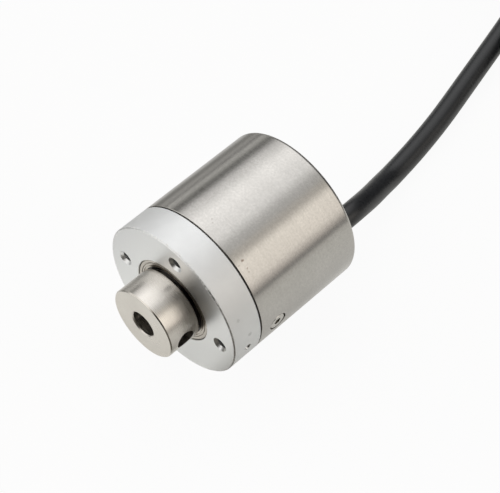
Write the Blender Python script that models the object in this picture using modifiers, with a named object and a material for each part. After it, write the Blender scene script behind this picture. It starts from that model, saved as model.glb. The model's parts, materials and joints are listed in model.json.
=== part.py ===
"""Rotary angle sensor with a hollow shaft hub, modelled piece by piece.

Metres, +Z up. The shaft turns about the Y axis. The origin is on that axis, in the plane of
the flange's front face. The hub points along -Y, the round body and the cable along +Y.
Run it with blender --background --python part.py, or from the text editor.
"""
import math

import bpy
import bmesh
from mathutils import Matrix, Vector

# Overall body
BODY_RADIUS = 0.0190
BODY_LENGTH = 0.0378
FLANGE_THICKNESS = 0.0079
FLANGE_EDGE_CHAMFER = 0.0002
HOUSING_WALL = 0.0015
HOUSING_REAR_WALL = 0.0020
HOUSING_REAR_ROUND = 0.0010

# Clearances: beside a round fit, and between two faces that meet
ROUND_GAP = 0.0002
FACE_GAP = 0.0003

# Shaft and hub
HUB_RADIUS = 0.0088
HUB_REACH = 0.0086
HUB_BACK_GAP = 0.0004
HUB_CHAMFER = 0.0002
BORE_RADIUS = 0.003175
BORE_DEPTH = 0.0140
BORE_CHAMFER = 0.00025
SHAFT_STEP_RISE = 0.0012
SHAFT_TAIL = 0.0007
STUB_RADIUS = 0.0025
STUB_LENGTH = 0.0020
FEATURE_ANGLE = math.radians(-6.5)
SET_SCREW_RADIUS = 0.0019
SET_SCREW_SINK = 0.0020
SET_SCREW_TIP_GAP = 0.000625
SET_SCREW_FROM_FRONT = 0.0042
SET_SCREW_HEX = 0.0020

# Bearings: a thin section ball bearing, twice
BEARING_RADIUS = 0.0105
BEARING_SECTION = 0.0045
BEARING_WIDTH = 0.0050
BEARING_RECESS = 0.0003
REAR_BEARING_BEFORE_MIDDLE = 0.0079
BALL_RADIUS = 0.00119
BALL_COUNT = 11
BALL_CLEARANCE = 0.0002
OUTER_LAND_INSET = 0.0013
INNER_LAND_RISE = 0.0013
SEAL_STEP = 0.00075
SEAL_DEPTH = 0.00055
SEAL_RIM = 0.0005
SEAL_DISH = 0.00022
SEAL_INSET = 0.00005
SEAL_BACK_GAP = 0.0001
CAGE_THICKNESS = 0.0010
CAGE_WIDTH = 0.0016

# Flange: web, spigot and its grooves and holes
SPIGOT_LIP = 0.0014
WEB_INSET = 0.0012
WAVE_ROOM = 0.0008
WAVE_THICKNESS = 0.0002
WAVE_HEIGHT = 0.00012
CLIP_THICKNESS = 0.0008
CLIP_GROOVE = 0.0006
CLIP_OPENING = math.radians(50)
O_RING_WIRE = 0.00055
O_RING_BACK = 0.0017
O_RING_GROOVE_WIDTH = 0.0015
MOUNT_HOLE_RADIUS = 0.00125
MOUNT_HOLE_SINK = 0.0016
MOUNT_HOLE_DEPTH = 0.0060
MOUNT_CIRCLE_INSET = 0.0002
MOUNT_HOLES = 4
DIMPLE_RADIUS = 0.00055
DIMPLE_BACK = 0.0040

# Radial screws that hold the housing on the spigot
HOUSING_SCREW_BACK = 0.0053
HOUSING_SCREW_HEAD = 0.0020
HOUSING_SCREW_SHANK = 0.0011
HOUSING_SCREW_LENGTH = 0.0050
HOUSING_SCREW_SINK = 0.00012
HOUSING_SCREW_HEX = 0.0013
HOUSING_SCREW_HEX_DEPTH = 0.0009
HOUSING_SCREW_RIM = 0.0002
HOUSING_SCREWS = 2

# Magnet and its carrier on the shaft's stub
CARRIER_RADIUS = 0.0046
CARRIER_LENGTH = 0.0043
CARRIER_WEB = 0.0004
MAGNET_RADIUS = 0.0030
MAGNET_THICKNESS = 0.0022
MAGNET_STANDS_OUT = 0.0005
MAGNET_AIR_GAP = 0.0008

# Circuit board, what carries it and what is on it
BOARD_ROOM = 0.0004
BOARD_THICKNESS = 0.0016
STANDOFF_RADIUS = 0.0018
STANDOFF_STUD = 0.0009
STANDOFF_STUD_LENGTH = 0.0030
STANDOFF_FIRST = math.radians(30)
STANDOFFS = 3
BOARD_SCREW_RADIUS = 0.0010
BOARD_SCREW_HEAD = 0.0018
BOARD_SCREW_HEAD_HEIGHT = 0.0013
BOARD_SCREW_LENGTH = 0.0045
BOARD_SCREW_SLOT = 0.0005
HALL_CHIP = (0.0050, 0.0011, 0.0040)
SIGNAL_CHIP = (0.0070, 0.0012, 0.0070)
SIGNAL_CHIP_Z = -0.0060
REGULATOR = (0.0045, 0.0015, 0.0026)
REGULATOR_X = -0.0090
REGULATOR_Z = -0.0050
CAPACITOR_RADIUS = 0.0020
CAPACITOR_HEIGHT = 0.0045
CAPACITOR_EDGE = 0.0002
CAPACITOR_INSET = 0.0021
CAPACITOR_ANGLES = (math.radians(62), math.radians(5))
CONNECTOR = (0.0090, 0.0042, 0.0040)
CONNECTOR_Z = 0.0070
CONNECTOR_EDGE = 0.0002
CONNECTOR_BESIDE_SCREW = 0.0008

# Cable and the moulded relief that holds it in the rear wall
CABLE_RADIUS = 0.00275
CABLE_ANGLE = math.atan2(-100, 62)
CABLE_WALL_ROOM = 0.000934
RELIEF_LENGTH = 0.0090
RELIEF_GROOVES = 3
RELIEF_GROOVE_FLOOR = 0.0004
RELIEF_FOOT = 0.0006
RELIEF_ROOT_WALL = 0.00175
RELIEF_TIP_WALL = 0.00085
RELIEF_NECK_WALL = 0.00115
RELIEF_INNER_WALL = 0.00205
RELIEF_INNER_THICKNESS = 0.0012
INNER_CABLE_INSIDE = 0.0044
CLAMP_FROM_END = 0.0006
CLAMP_WALL = 0.0007
CLAMP_WIDTH = 0.0018
LEAD_RADIUS = 0.00045
LEAD_SPREAD = 0.0012
LEAD_PITCH = 0.0026
LEAD_BACK = 0.0005
LEAD_FIRST_BEND = (0.0, 0.0010, -0.0060)
LEAD_LAST_BEND = (0.0, -0.0016, 0.0012)

# Free cable: it drops to the surface below the body, runs on and ends in a tied hank
FLOOR_Z = -BODY_RADIUS
CABLE_ROUTE = [
    (0.0062, 0.0474, -0.01000),
    (0.0060, 0.0514, -0.01040),
    (0.0047, 0.0588, -0.01280),
    (0.0034, 0.0646, -0.01460),
    (0.0024, 0.0701, -0.01580),
    (0.0009, 0.0803, -0.01620),
    (-0.0012, 0.0918, -0.01620),
    (-0.0048, 0.1075, -0.01600),
    (-0.0080, 0.1215, -0.01560),
    (-0.01014, 0.1305, -0.01525),
]
CABLE_POINTS = 18
HANK_X = 0.0050
HANK_Y = 0.1500
HANK_RUN = 0.0540
HANK_MID_RADIUS = 0.01675
HANK_LAYERS = 2
TIE_THICKNESS = 0.0008
TIE_WIDTH = 0.0080
TIE_EDGE = 0.0003
TAIL_START = 0.0080
TAIL_LENGTH = 0.0200
TAIL_LEAD_LENGTH = 0.0150

# How finely round shapes are divided
ROUND_STEPS = 36
FINE_STEPS = 24
SMALL_STEPS = 14
TINY_STEPS = 8
ARC_STEPS = 3
MERGE = 0.000001
CUT_LIP = 0.0004
CUT_THROUGH = 0.0030
DRILL_POINT = 0.6

# Sizes that follow from the ones above
ALONG = Matrix.Rotation(math.radians(-90), 4, "X")
HOUSING_BORE = BODY_RADIUS - HOUSING_WALL
SPIGOT_RADIUS = HOUSING_BORE - ROUND_GAP
SEAT_RADIUS = BEARING_RADIUS + ROUND_GAP
INNER_RING_BORE = BEARING_RADIUS - BEARING_SECTION
SHAFT_RADIUS = INNER_RING_BORE - ROUND_GAP
SHAFT_STEP_RADIUS = SHAFT_RADIUS + SHAFT_STEP_RISE
SET_SCREW_LENGTH = HUB_RADIUS - SET_SCREW_SINK - BORE_RADIUS - SET_SCREW_TIP_GAP
MOUNT_CIRCLE_RADIUS = (SEAT_RADIUS + BODY_RADIUS) / 2 - MOUNT_CIRCLE_INSET
PITCH_RADIUS = (INNER_RING_BORE + BEARING_RADIUS) / 2
REAR_BEARING = BODY_LENGTH / 2 - REAR_BEARING_BEFORE_MIDDLE
REAR_BEARING_END = REAR_BEARING + BEARING_WIDTH
WEB_START = BEARING_RECESS + BEARING_WIDTH + FACE_GAP
WEB_END = REAR_BEARING - WAVE_ROOM
CLIP_START = REAR_BEARING_END + FACE_GAP
CLIP_END = CLIP_START + CLIP_THICKNESS
SPIGOT_END = CLIP_END + SPIGOT_LIP
SHAFT_END = CLIP_END + SHAFT_TAIL
CARRIER_START = SHAFT_END + FACE_GAP
CARRIER_END = CARRIER_START + CARRIER_LENGTH
MAGNET_END = CARRIER_END + MAGNET_STANDS_OUT
BOARD_FRONT = MAGNET_END + MAGNET_AIR_GAP + HALL_CHIP[1] + FACE_GAP
BOARD_BACK = BOARD_FRONT + BOARD_THICKNESS
BOARD_RADIUS = HOUSING_BORE - BOARD_ROOM
STANDOFF_CIRCLE = (SEAT_RADIUS + SPIGOT_RADIUS) / 2
CAPACITOR_CIRCLE = BOARD_RADIUS - CAPACITOR_RADIUS - CAPACITOR_INSET
REAR_INSIDE = BODY_LENGTH - HOUSING_REAR_WALL
RELIEF_END = BODY_LENGTH + RELIEF_LENGTH
RELIEF_ROOT_RADIUS = CABLE_RADIUS + RELIEF_ROOT_WALL
RELIEF_TIP_RADIUS = CABLE_RADIUS + RELIEF_TIP_WALL
RELIEF_NECK_RADIUS = CABLE_RADIUS + RELIEF_NECK_WALL
RELIEF_INNER_RADIUS = CABLE_RADIUS + RELIEF_INNER_WALL
CABLE_CIRCLE = HOUSING_BORE - RELIEF_INNER_RADIUS - CABLE_WALL_ROOM
CABLE_X = CABLE_CIRCLE * math.cos(CABLE_ANGLE)
CABLE_Z = CABLE_CIRCLE * math.sin(CABLE_ANGLE)
INNER_CABLE_START = REAR_INSIDE - INNER_CABLE_INSIDE
HANK_OUTER = HANK_MID_RADIUS + 2 * CABLE_RADIUS
HANK_INNER = HANK_MID_RADIUS - 2 * CABLE_RADIUS
HANK_BOTTOM = FLOOR_Z + TIE_THICKNESS + FACE_GAP
HANK_TOP = HANK_BOTTOM + HANK_LAYERS * 2 * CABLE_RADIUS
TAIL_Z = HANK_TOP + FACE_GAP + CABLE_RADIUS


def clear_scene():
    """Remove what the file holds, so that the model stands alone."""
    for thing in list(bpy.data.objects):
        bpy.data.objects.remove(thing, do_unlink=True)


def new_collection(name):
    """A collection linked to the scene."""
    group = bpy.data.collections.new(name)
    bpy.context.scene.collection.children.link(group)
    return group


def make_material(name, colour, roughness, metallic=0.0):
    """A plain material with the piece's own colour and finish."""
    material = bpy.data.materials.new(name)
    material.use_nodes = True
    shader = material.node_tree.nodes["Principled BSDF"]
    shader.inputs["Base Color"].default_value = (*colour, 1.0)
    shader.inputs["Roughness"].default_value = roughness
    shader.inputs["Metallic"].default_value = metallic
    material.diffuse_color = (*colour, 1.0)
    return material


def add_object(name, data, group, material=None):
    """Link an object to its collection and give it its material."""
    thing = bpy.data.objects.new(name, data)
    group.objects.link(thing)
    if material is not None:
        data.materials.append(material)
    return thing


def add_cutter(name, mesh):
    """A cutter stays in its own collection, out of the render."""
    thing = add_object(name, mesh, CUTTERS)
    thing.hide_render = True
    thing.display_type = "WIRE"
    return thing


def cut(target, cutter, operation="DIFFERENCE"):
    """Cut a piece with a cutter, or join them, exactly."""
    change = target.modifiers.new(cutter.name, "BOOLEAN")
    change.operation = operation
    change.solver = "EXACT"
    change.object = cutter


def profile_mesh(name, profile):
    """The outline of a turned piece: (radius, height) points, down the outside and up the inside."""
    on_axis = profile[0][0] == 0.0 and profile[-1][0] == 0.0
    count = len(profile)
    edges = [(i, i + 1) for i in range(count - 1)]
    if not on_axis:
        edges.append((count - 1, 0))
    mesh = bpy.data.meshes.new(name)
    mesh.from_pydata([(radius, 0.0, height) for radius, height in profile], edges, [])
    return mesh


def spin(thing, steps):
    """Turn an outline once round its own Z axis."""
    turn = thing.modifiers.new("Turn", "SCREW")
    turn.angle = math.tau
    turn.steps = steps
    turn.render_steps = steps
    turn.use_merge_vertices = True
    turn.merge_threshold = MERGE
    turn.use_smooth_shade = False
    return thing


def turned(name, profile, material, steps=FINE_STEPS, matrix=ALONG):
    """A turned piece whose own Z axis lies along the given matrix, by default along +Y."""
    thing = add_object(name, profile_mesh(name, profile), PARTS, material)
    thing.matrix_world = matrix
    return spin(thing, steps)


def turned_cutter(name, profile, steps, matrix):
    """A turned cutter."""
    thing = add_cutter(name, profile_mesh(name, profile))
    thing.matrix_world = matrix
    return spin(thing, steps)


def prism_cutter(name, across_flats, depth, matrix, sides=6):
    """A prism whose top is just past the face it cuts, reaching depth below it."""
    mesh = bpy.data.meshes.new(name)
    shape = bmesh.new()
    radius = across_flats / 2 / math.cos(math.pi / sides)
    bmesh.ops.create_cone(
        shape, cap_ends=True, segments=sides, radius1=radius, radius2=radius, depth=2 * depth
    )
    shape.to_mesh(mesh)
    shape.free()
    thing = add_cutter(name, mesh)
    thing.matrix_world = matrix
    return thing


def block(name, centre, size, material, edge=0.0001):
    """A box with small bevelled edges."""
    mesh = bpy.data.meshes.new(name)
    shape = bmesh.new()
    bmesh.ops.create_cube(shape, size=1.0)
    bmesh.ops.scale(shape, vec=Vector(size), verts=shape.verts)
    shape.to_mesh(mesh)
    shape.free()
    thing = add_object(name, mesh, PARTS, material)
    thing.location = centre
    bevel = thing.modifiers.new("Edges", "BEVEL")
    bevel.width = edge
    bevel.segments = 1
    return thing


def block_cutter(name, size, matrix):
    """A plain box to cut with."""
    mesh = bpy.data.meshes.new(name)
    shape = bmesh.new()
    bmesh.ops.create_cube(shape, size=1.0)
    bmesh.ops.scale(shape, vec=Vector(size), verts=shape.verts)
    shape.to_mesh(mesh)
    shape.free()
    thing = add_cutter(name, mesh)
    thing.matrix_world = matrix
    return thing


def facing(point, direction):
    """A matrix at a point whose Z axis lies along a direction."""
    turn = Vector(direction).normalized().to_track_quat("Z", "Y").to_matrix().to_4x4()
    return Matrix.Translation(Vector(point)) @ turn


def round_the_axis(radius, angle, along):
    """The point at an angle round the shaft's axis."""
    return Vector((radius * math.cos(angle), along, radius * math.sin(angle)))


def arc(centre_radius, centre_height, radius, first, last, steps=ARC_STEPS):
    """Points of a round edge in a profile, from one angle to another."""
    points = []
    for i in range(steps + 1):
        angle = math.radians(first + (last - first) * i / steps)
        points.append(
            (centre_radius + radius * math.cos(angle), centre_height + radius * math.sin(angle))
        )
    return points


def hole_profile(radius, depth, sink_radius):
    """A drilled hole with a 45 degree edge break and a drill point, cut down from height 0."""
    return [
        (0.0, CUT_LIP),
        (sink_radius + CUT_LIP, CUT_LIP),
        (radius, radius - sink_radius),
        (radius, -depth),
        (0.0, -depth - radius * DRILL_POINT),
    ]


def through_profile(radius):
    """A plain hole, cut through both ways from height 0."""
    return [
        (0.0, CUT_THROUGH),
        (radius, CUT_THROUGH),
        (radius, -CUT_THROUGH),
        (0.0, -CUT_THROUGH),
    ]


def smooth_path(route, count):
    """Points at even steps of length on a smooth curve through the route's own points."""
    points = [Vector(p) for p in route]
    ends = [2 * points[0] - points[1]] + points + [2 * points[-1] - points[-2]]
    fine = []
    pieces = 24
    for i in range(len(points) - 1):
        a, b, c, d = ends[i : i + 4]
        for k in range(pieces):
            t = k / pieces
            fine.append(
                0.5
                * (
                    2 * b
                    + (c - a) * t
                    + (2 * a - 5 * b + 4 * c - d) * t**2
                    + (3 * b - a - 3 * c + d) * t**3
                )
            )
    fine.append(points[-1])
    lengths = [0.0]
    for before, after in zip(fine, fine[1:]):
        lengths.append(lengths[-1] + (after - before).length)
    result = []
    place = 0
    for i in range(count):
        wanted = lengths[-1] * i / (count - 1)
        while place < len(lengths) - 2 and lengths[place + 1] < wanted:
            place += 1
        share = (wanted - lengths[place]) / (lengths[place + 1] - lengths[place])
        result.append(fine[place].lerp(fine[place + 1], min(max(share, 0.0), 1.0)))
    return result


def tube(name, points, radius, material, detail=2):
    """A round tube along points, closed at both ends."""
    curve = bpy.data.curves.new(name, "CURVE")
    curve.dimensions = "3D"
    curve.bevel_depth = radius
    curve.bevel_resolution = detail
    curve.use_fill_caps = True
    line = curve.splines.new("POLY")
    line.points.add(len(points) - 1)
    for point, place in zip(line.points, points):
        point.co = (*place, 1.0)
    return add_object(name, curve, PARTS, material)


def make_flange():
    """The front flange: bearing seats either side of a web, and the spigot that enters the housing."""
    clip_bore = SEAT_RADIUS + CLIP_GROOVE
    groove_start = FLANGE_THICKNESS + O_RING_BACK
    groove_end = groove_start + O_RING_GROOVE_WIDTH
    groove_radius = HOUSING_BORE - 2 * ROUND_GAP - 2 * O_RING_WIRE
    edge = FLANGE_EDGE_CHAMFER
    web_radius = BEARING_RADIUS - WEB_INSET
    clip_room = ROUND_GAP / 2
    profile = [
        (SEAT_RADIUS, SPIGOT_END),
        (SPIGOT_RADIUS - edge, SPIGOT_END),
        (SPIGOT_RADIUS, SPIGOT_END - edge),
        (SPIGOT_RADIUS, groove_end),
        (groove_radius, groove_end),
        (groove_radius, groove_start),
        (SPIGOT_RADIUS, groove_start),
        (SPIGOT_RADIUS, FLANGE_THICKNESS),
        (BODY_RADIUS, FLANGE_THICKNESS),
        (BODY_RADIUS, edge),
        (BODY_RADIUS - edge, 0.0),
        (SEAT_RADIUS + edge / 2, 0.0),
        (SEAT_RADIUS, edge / 2),
        (SEAT_RADIUS, WEB_START),
        (web_radius, WEB_START),
        (web_radius, WEB_END),
        (SEAT_RADIUS, WEB_END),
        (SEAT_RADIUS, CLIP_START - clip_room),
        (clip_bore, CLIP_START - clip_room),
        (clip_bore, CLIP_END + clip_room),
        (SEAT_RADIUS, CLIP_END + clip_room),
    ]
    flange = turned("flange", profile, ALUMINIUM, ROUND_STEPS)
    for i in range(MOUNT_HOLES):
        angle = FEATURE_ANGLE + math.tau * i / MOUNT_HOLES
        place = facing(round_the_axis(MOUNT_CIRCLE_RADIUS, angle, 0.0), (0, -1, 0))
        hole = hole_profile(MOUNT_HOLE_RADIUS, MOUNT_HOLE_DEPTH, MOUNT_HOLE_SINK)
        cut(flange, turned_cutter(f"cut_mount_hole_{i + 1}", hole, TINY_STEPS, place))
    for i in range(STANDOFFS):
        place = facing(standoff_place(i, SPIGOT_END), (0, 1, 0))
        radius = STANDOFF_STUD + ROUND_GAP
        hole = hole_profile(radius, STANDOFF_STUD_LENGTH + FACE_GAP, radius + edge)
        cut(flange, turned_cutter(f"cut_standoff_hole_{i + 1}", hole, TINY_STEPS, place))
    for i in range(HOUSING_SCREWS):
        reach = HOUSING_SCREW_LENGTH + HOUSING_SCREW_SINK - HOUSING_WALL
        place = facing(*housing_screw_place(i, SPIGOT_RADIUS))
        radius = HOUSING_SCREW_SHANK + ROUND_GAP
        hole = hole_profile(radius, reach, radius + edge)
        cut(flange, turned_cutter(f"cut_screw_hole_{i + 1}", hole, TINY_STEPS, place))
    dimple = hole_profile(DIMPLE_RADIUS, DIMPLE_RADIUS / 2, DIMPLE_RADIUS)
    place = facing(
        round_the_axis(BODY_RADIUS, FEATURE_ANGLE, DIMPLE_BACK),
        round_the_axis(1.0, FEATURE_ANGLE, 0.0),
    )
    cut(flange, turned_cutter("cut_dimple", dimple, TINY_STEPS, place))


def standoff_place(i, along):
    """Where a circuit board standoff's axis meets a plane across the body."""
    return round_the_axis(STANDOFF_CIRCLE, STANDOFF_FIRST + math.tau * i / STANDOFFS, along)


def housing_screw_place(i, radius):
    """The place and the outward direction of a radial housing screw."""
    angle = FEATURE_ANGLE + math.tau * i / HOUSING_SCREWS
    along = FLANGE_THICKNESS + HOUSING_SCREW_BACK
    return round_the_axis(radius, angle, along), round_the_axis(1.0, angle, 0.0)


def screw_head_profile(clearance):
    """A countersunk head and its shank, from its flat top at height 0 down."""
    head = HOUSING_SCREW_HEAD + clearance
    shank = HOUSING_SCREW_SHANK + clearance
    slope = [(head, -HOUSING_SCREW_RIM), (shank, -HOUSING_SCREW_RIM - (head - shank))]
    return slope, shank


def make_housing():
    """The drum: a turned cup that covers the spigot and the circuit board."""
    start = FLANGE_THICKNESS + FACE_GAP
    bend = HOUSING_REAR_ROUND
    profile = [(0.0, BODY_LENGTH)]
    profile += arc(BODY_RADIUS - bend, BODY_LENGTH - bend, bend, 90, 0)
    profile += [
        (BODY_RADIUS, start),
        (HOUSING_BORE, start),
        (HOUSING_BORE, REAR_INSIDE),
        (0.0, REAR_INSIDE),
    ]
    housing = turned("housing", profile, STEEL, ROUND_STEPS)
    for i in range(HOUSING_SCREWS):
        slope, shank = screw_head_profile(ROUND_GAP)
        hole = [(0.0, CUT_THROUGH), (slope[0][0], CUT_THROUGH)] + slope
        hole += [(shank, -CUT_THROUGH), (0.0, -CUT_THROUGH)]
        place = facing(*housing_screw_place(i, BODY_RADIUS - HOUSING_SCREW_SINK))
        cut(housing, turned_cutter(f"cut_sunk_hole_{i + 1}", hole, SMALL_STEPS, place))
    radius = RELIEF_NECK_RADIUS + ROUND_GAP
    hole = through_profile(radius)
    place = facing((CABLE_X, BODY_LENGTH - HOUSING_REAR_WALL / 2, CABLE_Z), (0, 1, 0))
    cut(housing, turned_cutter("cut_cable_hole", hole, FINE_STEPS, place))


def make_housing_screws():
    """Two countersunk screws through the drum into the spigot, level with the drum."""
    for i in range(HOUSING_SCREWS):
        slope, shank = screw_head_profile(0.0)
        tip = -HOUSING_SCREW_LENGTH
        profile = [(0.0, 0.0), (HOUSING_SCREW_HEAD, 0.0)] + slope
        profile += [(shank, tip + shank / 2), (shank / 2, tip), (0.0, tip)]
        place = facing(*housing_screw_place(i, BODY_RADIUS - HOUSING_SCREW_SINK))
        screw = turned(f"housing_screw_{i + 1}", profile, SCREW_STEEL, SMALL_STEPS, place)
        name = f"cut_hex_{i + 1}"
        cut(screw, prism_cutter(name, HOUSING_SCREW_HEX, HOUSING_SCREW_HEX_DEPTH, place))


def make_o_ring():
    """The seal between the spigot and the drum."""
    middle = FLANGE_THICKNESS + O_RING_BACK + O_RING_GROOVE_WIDTH / 2
    radius = HOUSING_BORE - ROUND_GAP - O_RING_WIRE
    ring = arc(radius, middle, O_RING_WIRE, 90, -270, 8)[:-1]
    turned("housing_o_ring", ring, RUBBER, FINE_STEPS)


def make_shaft():
    """The shaft and its hub, turned from one bar, with a blind bore for the driven shaft."""
    front = -HUB_REACH
    bottom = front + BORE_DEPTH
    edge = HUB_CHAMFER
    groove = SHAFT_RADIUS - CLIP_GROOVE
    clip_room = ROUND_GAP / 2
    profile = [
        (0.0, SHAFT_END + STUB_LENGTH),
        (STUB_RADIUS, SHAFT_END + STUB_LENGTH),
        (STUB_RADIUS, SHAFT_END),
        (SHAFT_RADIUS - edge, SHAFT_END),
        (SHAFT_RADIUS, SHAFT_END - edge),
        (SHAFT_RADIUS, CLIP_END + clip_room),
        (groove, CLIP_END + clip_room),
        (groove, CLIP_START - clip_room),
        (SHAFT_RADIUS, CLIP_START - clip_room),
        (SHAFT_RADIUS, BEARING_RECESS - FACE_GAP),
        (SHAFT_STEP_RADIUS, BEARING_RECESS - FACE_GAP),
        (SHAFT_STEP_RADIUS, -HUB_BACK_GAP),
        (HUB_RADIUS - edge, -HUB_BACK_GAP),
        (HUB_RADIUS, -HUB_BACK_GAP - edge),
        (HUB_RADIUS, front + edge),
        (HUB_RADIUS - edge, front),
        (BORE_RADIUS + BORE_CHAMFER, front),
        (BORE_RADIUS, front + BORE_CHAMFER),
        (BORE_RADIUS, bottom),
        (0.0, bottom + BORE_RADIUS * DRILL_POINT),
    ]
    shaft = turned("hub_shaft", profile, SHAFT_STEEL, FINE_STEPS)
    radius = SET_SCREW_RADIUS + ROUND_GAP
    hole = hole_profile(radius, HUB_RADIUS - BORE_RADIUS / 2, radius + edge)
    cut(shaft, turned_cutter("cut_set_screw_hole", hole, SMALL_STEPS, set_screw_place(0.0)))


def set_screw_place(sink):
    """Where the hub's radial set screw sits, sunk below the hub's surface."""
    along = -HUB_REACH + SET_SCREW_FROM_FRONT
    point = round_the_axis(HUB_RADIUS - sink, FEATURE_ANGLE, along)
    return facing(point, round_the_axis(1.0, FEATURE_ANGLE, 0.0))


def make_set_screw():
    """The hub's set screw, with a hexagon socket and a cone point."""
    radius = SET_SCREW_RADIUS
    tip = -SET_SCREW_LENGTH
    profile = [(0.0, 0.0), (radius, 0.0), (radius, tip + radius / 2), (radius / 2, tip), (0.0, tip)]
    place = set_screw_place(SET_SCREW_SINK)
    screw = turned("hub_set_screw", profile, BLACK_STEEL, SMALL_STEPS, place)
    cut(screw, prism_cutter("cut_set_screw_hex", SET_SCREW_HEX, SET_SCREW_LENGTH / 2, place))


def race_arc(start, radius_side):
    """The round groove of a bearing ring, on its outer (1) or inner (-1) side of the balls."""
    groove = BALL_RADIUS + BALL_CLEARANCE
    middle = start + BEARING_WIDTH / 2
    if radius_side > 0:
        land = BEARING_RADIUS - OUTER_LAND_INSET
        open_angle = math.degrees(math.acos((land - PITCH_RADIUS) / groove))
        return arc(PITCH_RADIUS, middle, groove, -open_angle, open_angle), land
    land = INNER_RING_BORE + INNER_LAND_RISE
    open_angle = math.degrees(math.acos((PITCH_RADIUS - land) / groove))
    return arc(PITCH_RADIUS, middle, groove, 180 - open_angle, 180 + open_angle), land


def make_bearing(name, start):
    """One deep groove ball bearing: two rings, a cage that carries its balls, two steel seals."""
    end = start + BEARING_WIDTH
    step = BEARING_RADIUS - SEAL_STEP
    groove, land = race_arc(start, 1)
    outer = [(BEARING_RADIUS, end), (BEARING_RADIUS, start), (step, start)]
    outer += [(step, start + SEAL_DEPTH), (land, start + SEAL_DEPTH)]
    outer += groove
    outer += [(land, end - SEAL_DEPTH), (step, end - SEAL_DEPTH), (step, end)]
    turned(f"{name}_outer_ring", outer, BEARING_STEEL, ROUND_STEPS)
    groove, inner_land = race_arc(start, -1)
    inner = [(INNER_RING_BORE, end), (inner_land, end)] + groove
    inner += [(inner_land, start), (INNER_RING_BORE, start)]
    turned(f"{name}_inner_ring", inner, BEARING_STEEL, FINE_STEPS)
    make_seal(f"{name}_front_seal", start, 1, step, inner_land)
    make_seal(f"{name}_rear_seal", end, -1, step, inner_land)
    make_cage(f"{name}_cage", start + BEARING_WIDTH / 2)


def make_seal(name, face, way, step, inner_land):
    """A dished steel seal in the outer ring's step, clear of the inner ring."""
    outer = step - ROUND_GAP / 2
    rim = outer - SEAL_RIM
    inner = inner_land + ROUND_GAP
    top = SEAL_INSET
    thick = SEAL_DEPTH - SEAL_INSET - SEAL_BACK_GAP
    profile = [
        (rim, top),
        (rim, top + SEAL_DISH),
        (inner, top + SEAL_DISH),
        (inner, top + thick),
        (outer, top + thick),
        (outer, top),
    ]
    profile = [(radius, face + way * height) for radius, height in profile]
    if way < 0:
        profile.reverse()
    turned(name, profile, BEARING_STEEL, FINE_STEPS)


def make_cage(name, middle):
    """The ball cage with its balls, which roll round together as one piece."""
    half = CAGE_THICKNESS / 2
    top = middle + CAGE_WIDTH / 2
    bottom = middle - CAGE_WIDTH / 2
    profile = [
        (PITCH_RADIUS + half, top),
        (PITCH_RADIUS + half, bottom),
        (PITCH_RADIUS - half, bottom),
        (PITCH_RADIUS - half, top),
    ]
    cage = turned(name, profile, CAGE_STEEL, FINE_STEPS)
    for i in range(BALL_COUNT):
        mesh = bpy.data.meshes.new(f"{name}_ball")
        shape = bmesh.new()
        bmesh.ops.create_uvsphere(shape, u_segments=6, v_segments=4, radius=BALL_RADIUS)
        shape.to_mesh(mesh)
        shape.free()
        ball = add_cutter(f"{name}_ball_{i + 1}", mesh)
        ball.location = round_the_axis(PITCH_RADIUS, math.tau * i / BALL_COUNT, middle)
        cut(cage, ball, "UNION")


def make_spacer():
    """The sleeve that keeps the two inner rings apart."""
    start = BEARING_RECESS + BEARING_WIDTH + FACE_GAP
    end = REAR_BEARING - FACE_GAP
    outer = INNER_RING_BORE + INNER_LAND_RISE - ROUND_GAP
    profile = [(outer, end), (outer, start), (INNER_RING_BORE, start), (INNER_RING_BORE, end)]
    turned("bearing_spacer", profile, SHAFT_STEEL, FINE_STEPS)


def make_wave_washer():
    """The springy washer that preloads the rear bearing: a flat ring bent in three waves."""
    outer = BEARING_RADIUS - ROUND_GAP
    inner = BEARING_RADIUS - WEB_INSET + ROUND_GAP
    middle = WEB_END + WAVE_ROOM / 2
    shape = bmesh.new()
    rows = []
    for i in range(FINE_STEPS):
        angle = math.tau * i / FINE_STEPS
        lift = WAVE_HEIGHT * math.cos(3 * angle)
        row = []
        for radius, side in ((outer, 1), (outer, -1), (inner, -1), (inner, 1)):
            along = middle + lift + side * WAVE_THICKNESS / 2
            row.append(shape.verts.new(round_the_axis(radius, angle, along)))
        rows.append(row)
    for i, row in enumerate(rows):
        after = rows[(i + 1) % FINE_STEPS]
        for k in range(4):
            m = (k + 1) % 4
            shape.faces.new((row[k], after[k], after[m], row[m]))
    bmesh.ops.recalc_face_normals(shape, faces=shape.faces)
    mesh = bpy.data.meshes.new("wave_washer")
    shape.to_mesh(mesh)
    shape.free()
    add_object("wave_washer", mesh, PARTS, BLACK_STEEL)


def make_clip(name, inner, outer):
    """A retaining ring: a flat ring with an opening at its top."""
    profile = [(outer, CLIP_END), (outer, CLIP_START), (inner, CLIP_START), (inner, CLIP_END)]
    clip = turned(name, profile, BLACK_STEEL, FINE_STEPS)
    width = 2 * outer * math.sin(CLIP_OPENING / 2)
    size = (width, CUT_THROUGH, outer)
    middle = (0.0, (CLIP_START + CLIP_END) / 2, outer * 1.1)
    cut(clip, block_cutter(f"cut_{name}", size, Matrix.Translation(middle)))


def make_clips():
    """One ring holds the rear bearing in the flange, one holds the shaft in the bearings."""
    outer = SEAT_RADIUS + CLIP_GROOVE - ROUND_GAP
    make_clip("flange_retaining_ring", BEARING_RADIUS - WEB_INSET + ROUND_GAP, outer)
    land = INNER_RING_BORE + INNER_LAND_RISE
    make_clip("shaft_retaining_ring", SHAFT_RADIUS - CLIP_GROOVE + ROUND_GAP, land)


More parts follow.
